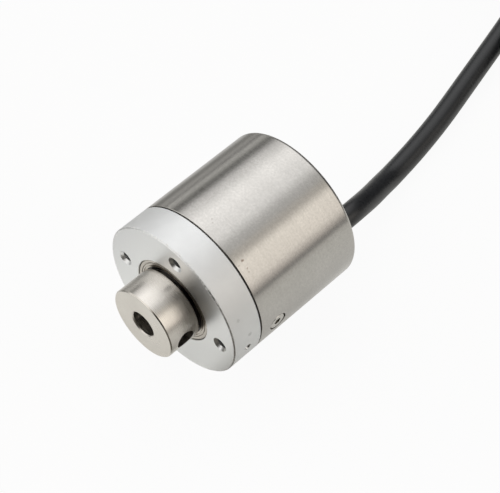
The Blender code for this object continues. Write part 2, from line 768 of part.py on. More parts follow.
def make_magnet():
    """The magnet and the cup that carries it on the end of the shaft."""
    stub = STUB_RADIUS + ROUND_GAP
    pocket = MAGNET_RADIUS + ROUND_GAP
    floor = SHAFT_END + STUB_LENGTH + FACE_GAP
    seat = floor + CARRIER_WEB
    profile = [
        (pocket, CARRIER_END),
        (CARRIER_RADIUS, CARRIER_END),
        (CARRIER_RADIUS, CARRIER_START),
        (stub, CARRIER_START),
        (stub, floor),
        (0.0, floor),
    ]
    inside = [(0.0, seat), (pocket, seat)]
    turned("magnet_carrier", inside + profile, BRASS, SMALL_STEPS)
    start = MAGNET_END - MAGNET_THICKNESS
    disc = [
        (0.0, MAGNET_END),
        (MAGNET_RADIUS, MAGNET_END),
        (MAGNET_RADIUS, start),
        (0.0, start),
    ]
    turned("magnet", disc, MAGNET_GREY, SMALL_STEPS)


def make_board():
    """The round circuit board with its three screw holes."""
    profile = [
        (0.0, BOARD_BACK),
        (BOARD_RADIUS, BOARD_BACK),
        (BOARD_RADIUS, BOARD_FRONT),
        (0.0, BOARD_FRONT),
    ]
    board = turned("circuit_board", profile, BOARD_GREEN, ROUND_STEPS)
    radius = BOARD_SCREW_RADIUS + ROUND_GAP
    hole = through_profile(radius)
    for i in range(STANDOFFS):
        place = facing(standoff_place(i, BOARD_FRONT + BOARD_THICKNESS / 2), (0, 1, 0))
        cut(board, turned_cutter(f"cut_board_hole_{i + 1}", hole, TINY_STEPS, place))


def make_standoffs():
    """Round standoffs on the spigot's rear face, and the screws that hold the board on them."""
    length = BOARD_FRONT - SPIGOT_END - 2 * FACE_GAP
    bore = BOARD_SCREW_RADIUS + ROUND_GAP
    reach = BOARD_SCREW_LENGTH - BOARD_THICKNESS - FACE_GAP
    for i in range(STANDOFFS):
        place = facing(standoff_place(i, SPIGOT_END + FACE_GAP), (0, 1, 0))
        profile = [
            (0.0, length - reach),
            (bore, length - reach),
            (bore, length),
            (STANDOFF_RADIUS, length),
            (STANDOFF_RADIUS, 0.0),
            (STANDOFF_STUD, 0.0),
            (STANDOFF_STUD, -STANDOFF_STUD_LENGTH),
            (0.0, -STANDOFF_STUD_LENGTH),
        ]
        turned(f"board_standoff_{i + 1}", profile, BRASS, TINY_STEPS, place)
        place = facing(standoff_place(i, BOARD_BACK + FACE_GAP), (0, 1, 0))
        tip = -BOARD_SCREW_LENGTH
        head = [
            (0.0, BOARD_SCREW_HEAD_HEIGHT),
            (BOARD_SCREW_HEAD * 0.7, BOARD_SCREW_HEAD_HEIGHT),
            (BOARD_SCREW_HEAD, BOARD_SCREW_HEAD_HEIGHT * 0.5),
            (BOARD_SCREW_HEAD, 0.0),
            (BOARD_SCREW_RADIUS, 0.0),
            (BOARD_SCREW_RADIUS, tip),
            (0.0, tip),
        ]
        screw = turned(f"board_screw_{i + 1}", head, SCREW_STEEL, TINY_STEPS, place)
        size = (2.4 * BOARD_SCREW_HEAD, BOARD_SCREW_SLOT, BOARD_SCREW_HEAD_HEIGHT)
        slot = place @ Matrix.Translation((0.0, 0.0, BOARD_SCREW_HEAD_HEIGHT))
        cut(screw, block_cutter(f"cut_slot_{i + 1}", size, slot))


def on_board(size, side):
    """How far along the axis a component's middle lies, on the board's back (1) or front (-1)."""
    if side > 0:
        return BOARD_BACK + FACE_GAP + size[1] / 2
    return BOARD_FRONT - FACE_GAP - size[1] / 2


def make_components():
    """What the board carries: two chips on the magnet's side, and the rest at the back."""
    block("angle_chip", (0.0, on_board(HALL_CHIP, -1), 0.0), HALL_CHIP, CHIP_BLACK)
    middle = (0.0, on_board(SIGNAL_CHIP, -1), SIGNAL_CHIP_Z)
    block("signal_chip", middle, SIGNAL_CHIP, CHIP_BLACK)
    middle = (REGULATOR_X, on_board(REGULATOR, 1), REGULATOR_Z)
    block("voltage_regulator", middle, REGULATOR, CHIP_BLACK)
    block("cable_connector", connector_place(), CONNECTOR, CONNECTOR_WHITE, CONNECTOR_EDGE)
    for i, angle in enumerate(CAPACITOR_ANGLES):
        can = [
            (0.0, CAPACITOR_HEIGHT),
            (CAPACITOR_RADIUS - CAPACITOR_EDGE, CAPACITOR_HEIGHT),
            (CAPACITOR_RADIUS, CAPACITOR_HEIGHT - CAPACITOR_EDGE),
            (CAPACITOR_RADIUS, 0.0),
            (0.0, 0.0),
        ]
        point = round_the_axis(CAPACITOR_CIRCLE, angle, BOARD_BACK + FACE_GAP)
        place = facing(point, (0, 1, 0))
        turned(f"capacitor_{i + 1}", can, CAN_SILVER, TINY_STEPS, place)


def connector_place():
    """The middle of the connector that takes the cable's leads, beside the screw on its left."""
    screw = standoff_place(1, 0.0)
    x = screw.x + BOARD_SCREW_HEAD + CONNECTOR_BESIDE_SCREW + CONNECTOR[0] / 2
    return (x, on_board(CONNECTOR, 1), CONNECTOR_Z)


def make_relief():
    """The moulded relief that grips the cable in the rear wall, seated from both sides."""
    bore = CABLE_RADIUS + ROUND_GAP
    inner_face = REAR_INSIDE - FACE_GAP
    outer_face = BODY_LENGTH + FACE_GAP
    floor = bore + RELIEF_GROOVE_FLOOR
    profile = [(bore, RELIEF_END), (RELIEF_TIP_RADIUS, RELIEF_END)]
    pitch = RELIEF_LENGTH / (RELIEF_GROOVES + 1)
    for i in range(RELIEF_GROOVES):
        place = RELIEF_END - pitch * (i + 0.7)
        share = (RELIEF_END - place) / RELIEF_LENGTH
        radius = RELIEF_TIP_RADIUS + (RELIEF_ROOT_RADIUS - RELIEF_TIP_RADIUS) * share
        groove = pitch * 0.35
        profile += [(radius, place), (floor, place - groove * 0.1)]
        profile += [(floor, place - groove * 0.9), (radius, place - groove)]
    profile += [
        (RELIEF_ROOT_RADIUS, outer_face + RELIEF_FOOT),
        (RELIEF_ROOT_RADIUS, outer_face),
        (RELIEF_NECK_RADIUS, outer_face),
        (RELIEF_NECK_RADIUS, inner_face),
        (RELIEF_INNER_RADIUS, inner_face),
        (RELIEF_INNER_RADIUS, inner_face - RELIEF_INNER_THICKNESS),
        (bore, inner_face - RELIEF_INNER_THICKNESS),
    ]
    turned("strain_relief", profile, RUBBER, SMALL_STEPS, facing_cable())


def facing_cable():
    """The axis of the cable where it goes through the rear wall."""
    return facing((CABLE_X, 0.0, CABLE_Z), (0, 1, 0))


def make_inner_cable():
    """The end of the cable inside the relief, its clamp, and its three leads to the connector."""
    start = INNER_CABLE_START
    profile = [(0.0, RELIEF_END), (CABLE_RADIUS, RELIEF_END), (CABLE_RADIUS, start), (0.0, start)]
    turned("inner_cable", profile, JACKET_BLACK, SMALL_STEPS, facing_cable())
    inner = CABLE_RADIUS + ROUND_GAP
    first = start + CLAMP_FROM_END
    last = first + CLAMP_WIDTH
    ring = [(inner, last), (inner + CLAMP_WALL, last), (inner + CLAMP_WALL, first), (inner, first)]
    turned("cable_clamp", ring, BRASS, SMALL_STEPS, facing_cable())
    middle = Vector(connector_place())
    for i, (colour, material) in enumerate(LEADS.items()):
        side = i - 1
        face = middle.z - CONNECTOR[2] / 2 - FACE_GAP
        a = Vector((middle.x + side * LEAD_PITCH, middle.y + LEAD_BACK, face))
        d = Vector((CABLE_X + side * LEAD_SPREAD, start - FACE_GAP, CABLE_Z))
        b = a + Vector(LEAD_FIRST_BEND)
        c = d + Vector(LEAD_LAST_BEND)
        points = []
        for k in range(13):
            t = k / 12
            share = (1 - t) ** 3, 3 * t * (1 - t) ** 2, 3 * t * t * (1 - t), t**3
            points.append(share[0] * a + share[1] * b + share[2] * c + share[3] * d)
        tube(f"inner_lead_{colour}", points, LEAD_RADIUS, material, 1)


def stadium(name, radius, half_height, material=None):
    """A flat outline with round ends, extruded both ways, lying in the hank's place."""
    curve = bpy.data.curves.new(name, "CURVE")
    curve.dimensions = "2D"
    curve.fill_mode = "BOTH"
    curve.extrude = half_height
    line = curve.splines.new("POLY")
    points = []
    for centre, first in ((HANK_Y + HANK_RUN, 0.0), (HANK_Y, math.pi)):
        for i in range(17):
            angle = first + math.pi * i / 16
            points.append((HANK_X + radius * math.cos(angle), centre + radius * math.sin(angle)))
    line.points.add(len(points) - 1)
    for point, (x, y) in zip(line.points, points):
        point.co = (x, y, 0.0, 1.0)
    line.use_cyclic_u = True
    thing = add_object(name, curve, CUTTERS, material)
    bpy.context.view_layer.update()
    seen = thing.evaluated_get(bpy.context.evaluated_depsgraph_get())
    mesh = bpy.data.meshes.new_from_object(seen)
    mesh.name = name
    bpy.data.objects.remove(thing, do_unlink=True)
    shape = bmesh.new()
    shape.from_mesh(mesh)
    bmesh.ops.remove_doubles(shape, verts=shape.verts, dist=MERGE)
    shape.to_mesh(mesh)
    shape.free()
    return mesh


def make_cable():
    """The free cable, and the tied hank that takes up the rest of its length."""
    tube("cable", smooth_path(CABLE_ROUTE, CABLE_POINTS), CABLE_RADIUS, JACKET_BLACK, 3)
    middle = (HANK_TOP + HANK_BOTTOM) / 2
    half = (HANK_TOP - HANK_BOTTOM) / 2
    outline = stadium("cable_hank", HANK_OUTER, half)
    hank = add_object("cable_hank", outline, PARTS, JACKET_BLACK)
    hank.location.z = middle
    hole = add_cutter("cut_hank", stadium("cut_hank", HANK_INNER, 2 * half))
    hole.location.z = middle
    cut(hank, hole)
    make_tie(middle, half)
    make_tail()


def make_tie(middle, half):
    """The band round the hank."""
    width = 2 * (HANK_OUTER + FACE_GAP)
    height = 2 * (half + FACE_GAP)
    along = HANK_Y + HANK_RUN - TIE_WIDTH / 2
    place = Matrix.Translation((HANK_X, along, middle))
    outside = (width + 2 * TIE_THICKNESS, TIE_WIDTH, height + 2 * TIE_THICKNESS)
    tie = block("cable_tie", place.translation, outside, TIE_BLACK, TIE_EDGE)
    cut(tie, block_cutter("cut_tie", (width, 2 * TIE_WIDTH, height), place))


def make_tail():
    """The cable's bare end with its three leads, lying on top of the hank."""
    x = HANK_X - HANK_OUTER + CABLE_RADIUS
    start = Vector((x, HANK_Y + TAIL_START, TAIL_Z))
    end = start + Vector((0.0, TAIL_LENGTH, 0.0))
    tube("cable_tail", [start.lerp(end, i / 3) for i in range(4)], CABLE_RADIUS, JACKET_BLACK, 3)
    for i, (colour, material) in enumerate(LEADS.items()):
        side = i - 1
        root = end + Vector((side * LEAD_SPREAD, FACE_GAP, 0.0))
        points = []
        for k in range(7):
            t = k / 6
            spread = side * LEAD_SPREAD * 0.9 * math.sin(t * math.pi / 2)
            drop = -(CABLE_RADIUS - LEAD_RADIUS) * 0.9 * t * t * (3 - 2 * t)
            points.append(root + Vector((spread, t * TAIL_LEAD_LENGTH, drop)))
        tube(f"tail_lead_{colour}", points, LEAD_RADIUS, material, 1)


clear_scene()
PARTS = new_collection("rotary_angle_sensor")
CUTTERS = new_collection("cutters")
ALUMINIUM = make_material("bead_blasted_aluminium", (0.78, 0.79, 0.79), 0.45, 1.0)
STEEL = make_material("brushed_housing_steel", (0.62, 0.60, 0.57), 0.30, 1.0)
SHAFT_STEEL = make_material("turned_shaft_steel", (0.62, 0.59, 0.55), 0.28, 1.0)
BEARING_STEEL = make_material("bearing_steel", (0.60, 0.59, 0.57), 0.25, 1.0)
CAGE_STEEL = make_material("cage_steel", (0.55, 0.53, 0.50), 0.35, 1.0)
SCREW_STEEL = make_material("screw_steel", (0.60, 0.58, 0.55), 0.30, 1.0)
BLACK_STEEL = make_material("blackened_steel", (0.03, 0.03, 0.03), 0.45, 0.8)
BRASS = make_material("brass", (0.66, 0.52, 0.24), 0.35, 1.0)
MAGNET_GREY = make_material("magnet_grey", (0.30, 0.30, 0.31), 0.40, 0.9)
BOARD_GREEN = make_material("circuit_board_green", (0.02, 0.16, 0.06), 0.50)
CHIP_BLACK = make_material("chip_black", (0.02, 0.02, 0.02), 0.55)
CAN_SILVER = make_material("capacitor_silver", (0.70, 0.70, 0.70), 0.35, 0.9)
CONNECTOR_WHITE = make_material("connector_white", (0.75, 0.74, 0.70), 0.50)
RUBBER = make_material("black_rubber", (0.02, 0.02, 0.02), 0.60)
JACKET_BLACK = make_material("cable_jacket_black", (0.015, 0.016, 0.02), 0.40)
TIE_BLACK = make_material("tie_black", (0.02, 0.02, 0.02), 0.70)
LEADS = {
    "red": make_material("lead_red", (0.50, 0.03, 0.02), 0.45),
    "white": make_material("lead_white", (0.75, 0.75, 0.73), 0.45),
    "green": make_material("lead_green", (0.02, 0.25, 0.06), 0.45),
}
make_flange()
make_housing()
make_housing_screws()
make_o_ring()
make_shaft()
make_set_screw()
make_bearing("front_bearing", BEARING_RECESS)
make_bearing("rear_bearing", REAR_BEARING)
make_spacer()
make_wave_washer()
make_clips()
make_magnet()
make_board()
make_standoffs()
make_components()
make_relief()
make_inner_cable()
make_cable()
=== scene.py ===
"""Looks of a rotary angle sensor: fine turned metal pieces, a black cable and a soft studio.

It is laid out as a Blender add-on and run as a script. Each operator builds one piece, or one
group of like pieces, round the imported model.
"""
import json
import math

import bmesh
import bpy
import numpy as np
from bpy.props import FloatProperty, FloatVectorProperty, IntProperty, PointerProperty
from mathutils import Matrix, Vector


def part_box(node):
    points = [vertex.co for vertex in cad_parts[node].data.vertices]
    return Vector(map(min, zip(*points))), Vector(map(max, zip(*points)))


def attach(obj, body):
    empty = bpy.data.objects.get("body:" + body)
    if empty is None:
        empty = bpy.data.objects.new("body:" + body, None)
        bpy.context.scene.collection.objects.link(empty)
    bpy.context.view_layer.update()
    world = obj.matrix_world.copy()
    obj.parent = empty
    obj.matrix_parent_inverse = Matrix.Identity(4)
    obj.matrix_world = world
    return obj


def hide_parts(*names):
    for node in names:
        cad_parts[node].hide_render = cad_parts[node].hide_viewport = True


bl_info = {
    "name": "Rotary angle sensor",
    "version": (1, 0, 0),
    "blender": (4, 5, 0),
    "location": "3D View > Sidebar > Sensor",
    "description": "Builds the looks of a rotary angle sensor round its packed model",
    "category": "Object",
}

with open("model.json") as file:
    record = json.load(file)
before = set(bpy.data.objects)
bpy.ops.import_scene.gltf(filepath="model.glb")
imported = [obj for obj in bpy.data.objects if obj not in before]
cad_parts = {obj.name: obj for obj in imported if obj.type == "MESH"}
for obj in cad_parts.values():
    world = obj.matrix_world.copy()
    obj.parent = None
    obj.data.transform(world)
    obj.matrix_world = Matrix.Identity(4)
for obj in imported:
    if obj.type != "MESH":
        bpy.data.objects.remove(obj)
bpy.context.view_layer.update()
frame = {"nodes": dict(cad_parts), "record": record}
DRUM_LOW, DRUM_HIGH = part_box("housing")
FLANGE_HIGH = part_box("flange")[1]
HUB_LOW, HUB_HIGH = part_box("hub_shaft")
RELIEF_LOW, RELIEF_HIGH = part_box("strain_relief")
TIE_LOW, TIE_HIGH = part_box("cable_tie")

# Steps round a turned piece, the angle in degrees from which an edge is sharp, how far a cutter
# stands over a surface, and a drill point's height as a share of its radius
BODY_STEPS, RING_STEPS, SCREW_STEPS = 256, 192, 64
SHARP = 28.0
OVER = 0.0004
DRILL_POINT = 0.6

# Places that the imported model's boxes don't give, as in its source
FEATURE_ANGLE = math.radians(-6.5)
HUB_BACK = -0.0004
CLIP_GROOVE = (0.0162, 0.0172)
DRUM_SCREW_ANGLES = (FEATURE_ANGLE, FEATURE_ANGLE + math.pi)
DRUM_SCREW_Y = 0.0132
DRUM_SCREW_SINK = 0.00012
SET_SCREW_Y = HUB_LOW.y + 0.0042
SET_SCREW_SINK = 0.0020
CABLE_EXIT = (0.0062, RELIEF_HIGH.y, -0.0100)
CABLE_ROUTE = [
    (0.0060, 0.0514, -0.0104), (0.0047, 0.0588, -0.0128), (0.0034, 0.0646, -0.0146),
    (0.0024, 0.0701, -0.0158), (0.0009, 0.0803, -0.0162), (-0.0012, 0.0918, -0.0162),
    (-0.0048, 0.1075, -0.0160), (-0.0080, 0.1215, -0.0156), (-0.01014, 0.1305, -0.01525),
    (-0.0118, 0.1370, -0.01515), (-0.0133, 0.1430, -0.01515), (-0.0143, 0.1490, -0.01515),
]

# Small stains on the drum and dull marks on the flange: a point, a radius and a depth of tone
DRUM_STAINS = [
    ((0.01121, 0.01021, 0.01534), 0.00042, 0.75),
    ((0.01272, 0.01016, 0.01412), 0.00026, 0.55),
    ((0.01328, 0.01006, 0.01359), 0.00024, 0.45),
    ((0.01155, 0.00887, 0.01509), 0.00022, 0.45),
    ((0.00107, 0.01151, 0.01897), 0.00024, 0.35),
    ((0.00180, 0.01096, 0.01891), 0.00020, 0.30),
    ((0.01638, 0.00937, 0.00963), 0.00030, 0.30),
]
FLANGE_MARKS = [
    ((0.01889, 0.00467, 0.00208), 0.00065, 0.30),
    ((0.01743, 0.00261, 0.00756), 0.00055, 0.20),
]

# Colours, and the bearing rings' metal: its colour, roughness, grain, lines and anisotropy
RING_METAL = ((0.60, 0.56, 0.51), 0.18, 6000.0, 0.02, 0.2)
LEAD_COLOURS = {"red": (0.50, 0.03, 0.02), "white": (0.75, 0.75, 0.73), "green": (0.02, 0.25, 0.06)}
STAIN_COLOUR = (0.16, 0.11, 0.08)
MARK_COLOUR = (0.30, 0.30, 0.29)
# Near black for the bearing shield's dished middle: painted shade of the recess behind the hub
RECESS_SHADE_COLOUR = (0.012, 0.010, 0.008)
WHITE = (1.0, 1.0, 1.0)
FINE_RELIEF = 0.00002

# The studio: light panels by their angle round the shaft's axis in degrees, and the floor's
# painted light and shade, seen by the metal, by its place across, from 200 mm on the left
# to 400 mm on the right
REAR_PANELS = [
    (-90, (0.66, 0.66, 0.66)), (-14, (0.76, 0.74, 0.70)), (-3, (0.45, 0.42, 0.39)),
    (18, (1.22, 1.15, 1.06)), (42, (1.34, 1.27, 1.17)), (56, (0.66, 0.63, 0.58)),
    (68, (0.66, 0.66, 0.65)), (92, (1.25, 1.25, 1.25)), (122, (1.46, 1.46, 1.46)),
    (146, (0.95, 0.95, 0.95)), (163, (0.11, 0.11, 0.105)), (177, (0.68, 0.68, 0.66)),
    (188, (0.44, 0.44, 0.43)), (197, (0.82, 0.82, 0.80)), (206, (0.03, 0.03, 0.03)),
    (218, (0.22, 0.22, 0.22)), (240, (0.50, 0.50, 0.50)),
]
FRONT_PANELS = [
    (-90, (0.45, 0.45, 0.44)), (-34, (0.12, 0.11, 0.10)), (-16, (0.02, 0.018, 0.014)),
    (52, (0.02, 0.018, 0.014)), (66, (0.06, 0.055, 0.045)), (80, (0.36, 0.34, 0.31)),
    (94, (0.75, 0.73, 0.70)), (112, (1.12, 1.10, 1.06)), (142, (1.12, 1.10, 1.07)),
    (158, (0.95, 0.94, 0.91)), (180, (0.90, 0.89, 0.86)), (240, (0.80, 0.79, 0.77)),
]
# Painted light and shade on the floor for all but camera rays: a falloff to the left and to the
# right
PAINTED_FLOOR_LIGHT = [
    (0.07, (0.50, 0.50, 0.49)), (0.19, (0.25, 0.25, 0.24)), (0.27, (0.80, 0.80, 0.79)),
    (0.30, (1.00, 1.00, 0.97)), (0.35, (1.00, 1.00, 0.97)), (0.375, (0.82, 0.82, 0.80)),
    (0.47, (0.80, 0.80, 0.77)), (0.67, (0.70, 0.69, 0.66)), (0.92, (0.32, 0.32, 0.31)),
]


# ---- surfaces


def new_object(name, points, faces):
    """An object in the scene with a mesh from points and faces."""
    mesh = bpy.data.meshes.new(name)
    mesh.from_pydata(np.reshape(points, (-1, 3)).tolist(), [], faces)
    item = bpy.data.objects.new(name, mesh)
    bpy.context.scene.collection.objects.link(item)
    return item


def new_piece(name, points, faces, body, slot, material, sharp=SHARP):
    """An object from arrays of points and faces, cleaned, shaded and riding on its body."""
    piece = new_object(name, points, faces)
    piece.data.materials.append(material)
    merge_doubles(piece.data)
    shade_by_angle(piece.data, sharp)
    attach(piece, body)
    return piece


def merge_doubles(mesh, distance=1e-7, turn_out=True):
    """Merges the doubles at poles and seams, and points every face outwards where asked."""
    shape = bmesh.new()
    shape.from_mesh(mesh)
    bmesh.ops.remove_doubles(shape, verts=shape.verts, dist=distance)
    if turn_out:
        bmesh.ops.recalc_face_normals(shape, faces=shape.faces)
    shape.to_mesh(mesh)
    shape.free()


def shade_by_angle(mesh, degrees):
    """Smooth faces with sharp edges where two faces meet at more than an angle."""
    mesh.polygons.foreach_set("use_smooth", np.ones(len(mesh.polygons), bool))
    mesh.set_sharp_from_angle(angle=math.radians(degrees))
    mesh.update()


def grid_faces(rows, columns, wrap_rows):
    """Quads between neighbouring points of a grid that closes round along its rows, and from its
    last row to the first where asked."""
    i = np.arange(rows if wrap_rows else rows - 1)
    i, j = (a.ravel() for a in np.meshgrid(i, np.arange(columns), indexing="ij"))
    k, m = (i + 1) % rows, (j + 1) % columns
    quads = np.stack([i * columns + j, k * columns + j, k * columns + m, i * columns + m], 1)
    return quads.tolist()


def turned_shape(profile, steps, place=None):
    """Points and faces of a turned surface. Each profile point (radius r, height h) goes once round
    the Y axis: x = r cos a, y = h, z = r sin a, for even steps of a over a full turn. place, a 4x4
    matrix, then moves them. A profile that starts and ends on the axis stays open there."""
    profile = np.asarray(profile, float)
    angle = np.arange(steps) * (math.tau / steps)
    radius, height = profile[:, :1], profile[:, 1:]
    x, z = radius * np.cos(angle), radius * np.sin(angle)
    points = np.stack([x, np.broadcast_to(height, x.shape), z], -1)
    if place is not None:
        matrix = np.array(place, float)
        points = points @ matrix[:3, :3].T + matrix[:3, 3]
    return points, grid_faces(len(profile), steps, profile[[0, -1], 0].any())


def turned_piece(name, profile, steps, body, slot, material, place=None):
    """A turned piece from its (radius, height) outline."""
    return new_piece(name, *turned_shape(profile, steps, place), body, slot, material)


def cut_away(piece, cutters):
    """Cuts out shapes. cutters is a list of (points, faces) that don't touch each other."""
    clouds = [points.reshape(-1, 3) for points, _ in cutters]
    starts = np.cumsum([0] + [len(cloud) for cloud in clouds])
    faces = [
        [index + int(start) for index in face]
        for start, (_, some) in zip(starts, cutters)
        for face in some
    ]
    tool = new_object("cutter", np.concatenate(clouds), faces)
    mesh = tool.data
    merge_doubles(mesh)
    change = piece.modifiers.new("Cut", "BOOLEAN")
    change.operation = "DIFFERENCE"
    change.solver = "EXACT"
    change.object = tool
    bpy.context.view_layer.update()
    seen = piece.evaluated_get(bpy.context.evaluated_depsgraph_get())
    result = bpy.data.meshes.new_from_object(seen)
    piece.modifiers.clear()
    old = piece.data
    result.name = old.name
    piece.data = result
    bpy.data.meshes.remove(old)
    bpy.data.objects.remove(tool)
    bpy.data.meshes.remove(mesh)
    merge_doubles(result, 2e-7, turn_out=False)
    shade_by_angle(result, SHARP)


def hex_cutter(across_flats, depth, place):
    """A hexagonal hole, cut down from just above height 0, with a shallow drill point."""
    corner = across_flats / 2 / math.cos(math.pi / 6)
    profile = [(0.0, depth * 0.1), (corner, depth * 0.1), (corner, -depth), (0.0, -depth * 1.15)]
    return turned_shape(profile, 6, place)


def radial_place(radius, angle, along):
    """A matrix on the shaft's axis frame whose own Y axis points outwards at an angle."""
    out = Vector((math.cos(angle), 0.0, math.sin(angle)))
    turn = out.to_track_quat("Y", "Z").to_matrix().to_4x4()
    return Matrix.Translation(out * radius + Vector((0.0, along, 0.0))) @ turn


def axial_place(point, towards=1.0):
    """A matrix at a point whose own Y axis points along +Y, or along -Y."""
    turn = Matrix.Identity(4) if towards > 0 else Matrix.Rotation(math.pi, 4, "Z")
    return Matrix.Translation(Vector(point)) @ turn


def round_edge(centre_radius, centre_height, radius, first, last, steps):
    """Profile points of a rounded edge: centre + radius (cos a, sin a), between two angles."""
    angle = np.radians(np.linspace(first, last, steps + 1))
    return list(
        zip(centre_radius + radius * np.cos(angle), centre_height + radius * np.sin(angle))
    )


def smooth_line(route, step):
    """A Catmull-Rom curve through the route's points, then points at even steps of its length."""
    p = np.asarray(route, float)
    ends = np.vstack([2 * p[0] - p[1], p, 2 * p[-1] - p[-2]])
    a, b, c, d = (ends[i : i + len(p) - 1, None] for i in range(4))
    t = np.linspace(0.0, 1.0, 24, endpoint=False)[None, :, None]
    bend = (2 * a - 5 * b + 4 * c - d) * t**2 + (3 * b - a - 3 * c + d) * t**3
    curve = 0.5 * (2 * b + (c - a) * t + bend)
    return even_steps(np.vstack([curve.reshape(-1, 3), p[-1]]), step)


def even_steps(line, step):
    """The same line with its points an even step of length apart."""
    length = np.concatenate([[0.0], np.cumsum(np.linalg.norm(np.diff(line, axis=0), axis=1))])
    keep = np.concatenate([[True], np.diff(length) > 1e-9])
    line, length = line[keep], length[keep]
    wanted = np.linspace(0.0, length[-1], max(3, int(round(length[-1] / step)) + 1))
    return np.stack([np.interp(wanted, length, line[:, i]) for i in range(3)], 1)


def line_frame(line):
    """Unit tangents of a line, with a level side direction and the one square to both."""
    tangent = np.gradient(line, axis=0)
    tangent /= np.linalg.norm(tangent, axis=1, keepdims=True)
    side = np.cross(tangent, (0.0, 0.0, 1.0))
    side /= np.linalg.norm(side, axis=1, keepdims=True)
    return tangent, side, np.cross(side, tangent)


def tube_piece(name, line, radius, sides, body, slot, material):
    """A round tube. Each point of the line carries a circle, point + radius (side cos a +
    up sin a), and both ends close through a small rounded rim to a pole."""
    pick = np.r_[0, 0, : len(line), -1, -1]
    line, tangent, side, up = (part[pick] for part in (line, *line_frame(line)))
    rim = 0.12 * radius
    radii = np.full(len(line), float(radius))
    radii[[0, -1]] = 0.0
    radii[[1, -2]] = radius - rim
    shift = np.zeros(len(line))
    shift[2], shift[-3] = rim, -rim
    angle = np.arange(sides) * (math.tau / sides)
    ring = side[:, None] * np.cos(angle)[:, None] + up[:, None] * np.sin(angle)[:, None]
    points = (line + tangent * shift[:, None])[:, None] + radii[:, None, None] * ring
    faces = grid_faces(len(line), sides, False)
    return new_piece(name, points, faces, body, slot, material, sharp=40.0)


# ---- finishes


def add_node(tree, kind, inputs=None, **settings):
    """A node with its settings, and its inputs set to values or linked to other nodes' sockets."""
    node = tree.nodes.new("ShaderNode" + kind)
    for name, value in settings.items():
        setattr(node, name, value)
    for name, value in (inputs or {}).items():
        if isinstance(value, bpy.types.NodeSocket):
            tree.links.new(value, node.inputs[name])
        else:
            node.inputs[name].default_value = value
    return node


def new_finish(name, colour, roughness, metallic=0.0):
    """A material with one Principled shader, whose detail comes from the nodes added to it."""
    material = bpy.data.materials.new(name)
    material.use_nodes = True
    shader = material.node_tree.nodes["Principled BSDF"]
    look = {"Base Color": (*colour, 1.0), "Roughness": roughness, "Metallic": metallic}
    for name, value in look.items():
        shader.inputs[name].default_value = value
    return material, shader


def object_place(tree):
    """The Object coordinates."""
    return add_node(tree, "TexCoord").outputs["Object"]


def object_noise(tree, scale, detail=3.0, stretch=(1.0, 1.0, 1.0)):
    """A noise on Object coordinates. stretch multiplies its scale along each axis."""
    mapping = add_node(tree, "Mapping", {"Vector": object_place(tree), "Scale": stretch})
    inputs = {"Vector": mapping.outputs["Vector"], "Scale": scale, "Detail": detail}
    return add_node(tree, "TexNoise", inputs).outputs["Fac"]


def ranged(tree, value, low, high, start=0.3, end=0.7):
    """A value carried evenly from one range to another, and held at its ends."""
    inputs = {"Value": value, "From Min": start, "From Max": end, "To Min": low, "To Max": high}
    return add_node(tree, "MapRange", inputs).outputs["Result"]


def blended(tree, share, first, second):
    """A colour between two, by a share from 0 to 1. Either may be a colour or a socket."""
    node = add_node(tree, "Mix", {"Factor": share}, data_type="RGBA")
    for name, colour in (("A", first), ("B", second)):
        if isinstance(colour, bpy.types.NodeSocket):
            tree.links.new(colour, node.inputs[name])
        else:
            node.inputs[name].default_value = (*colour, 1.0)
    return node.outputs["Result"]


def worked_out(tree, operation, first, second, third=0.0):
    """A Math node's result from values or sockets."""
    return add_node(tree, "Math", {0: first, 1: second, 2: third}, operation=operation).outputs[0]


def bumped(tree, shader, value, strength, depth):
    """A fine relief from a value, on top of any that the shader has."""
    inputs = {"Height": value, "Strength": strength, "Distance": depth}
    if shader.inputs["Normal"].links:
        inputs["Normal"] = shader.inputs["Normal"].links[0].from_socket
    tree.links.new(add_node(tree, "Bump", inputs).outputs["Normal"], shader.inputs["Normal"])


def vector_math(tree, operation, inputs, output=0):
    """A Vector Math node's result."""
    return add_node(tree, "VectorMath", inputs, operation=operation).outputs[output]


def split(tree, vector):
    """The sockets of a vector's X, Y and Z."""
    return add_node(tree, "SeparateXYZ", {"Vector": vector}).outputs.values()


def dimmed(colour, share):
    """A colour times a share."""
    return tuple(share * part for part in colour)


def lessened(tree, value, share, factor):
    """A value that is multiplied by a factor where a share is 1."""
    return worked_out(tree, "MULTIPLY", value, ranged(tree, share, 1.0, factor, 0.0, 1.0))


def radius_and_height(tree):
    """The distance from the shaft's axis and the place along it."""
    x, along, z = split(tree, object_place(tree))
    across = add_node(tree, "CombineXYZ", {"X": x, "Z": z}).outputs[0]
    return vector_math(tree, "LENGTH", {0: across}, "Value"), along


def edge_share(tree, radius, height, width):
    """1 on the chamfer between a turned piece's front face, at a height, and its side, else 0."""
    away, along = radius_and_height(tree)
    reach = 1.02 * width
    beside = worked_out(tree, "GREATER_THAN", away, radius - reach)
    before = worked_out(tree, "LESS_THAN", along, height + reach)
    return worked_out(tree, "MULTIPLY", beside, before)


def spot_share(tree, spots):
    """A depth of tone inside small uneven spots, each a point, a radius and that depth. It fades
    to 0 between half the radius and the rim."""
    place = object_place(tree)
    wobble = add_node(tree, "TexNoise", {"Vector": place, "Scale": 2600.0, "Detail": 2.0})
    shift = vector_math(tree, "SUBTRACT", {0: wobble.outputs["Color"], 1: (0.5, 0.5, 0.5)})
    shift = vector_math(tree, "SCALE", {0: shift, "Scale": 0.0006})
    place = vector_math(tree, "ADD", {0: place, 1: shift})
    total = 0.0
    for point, radius, depth in spots:
        gap = vector_math(tree, "DISTANCE", {0: place, 1: point}, "Value")
        share = ranged(tree, gap, depth, 0.0, 0.5 * radius, radius)
        total = worked_out(tree, "MAXIMUM", share, total)
    return total


def link_look(tree, shader, tint, tone):
    """Links a tint and a roughness to the shader."""
    tree.links.new(tint, shader.inputs["Base Color"])
    tree.links.new(tone, shader.inputs["Roughness"])


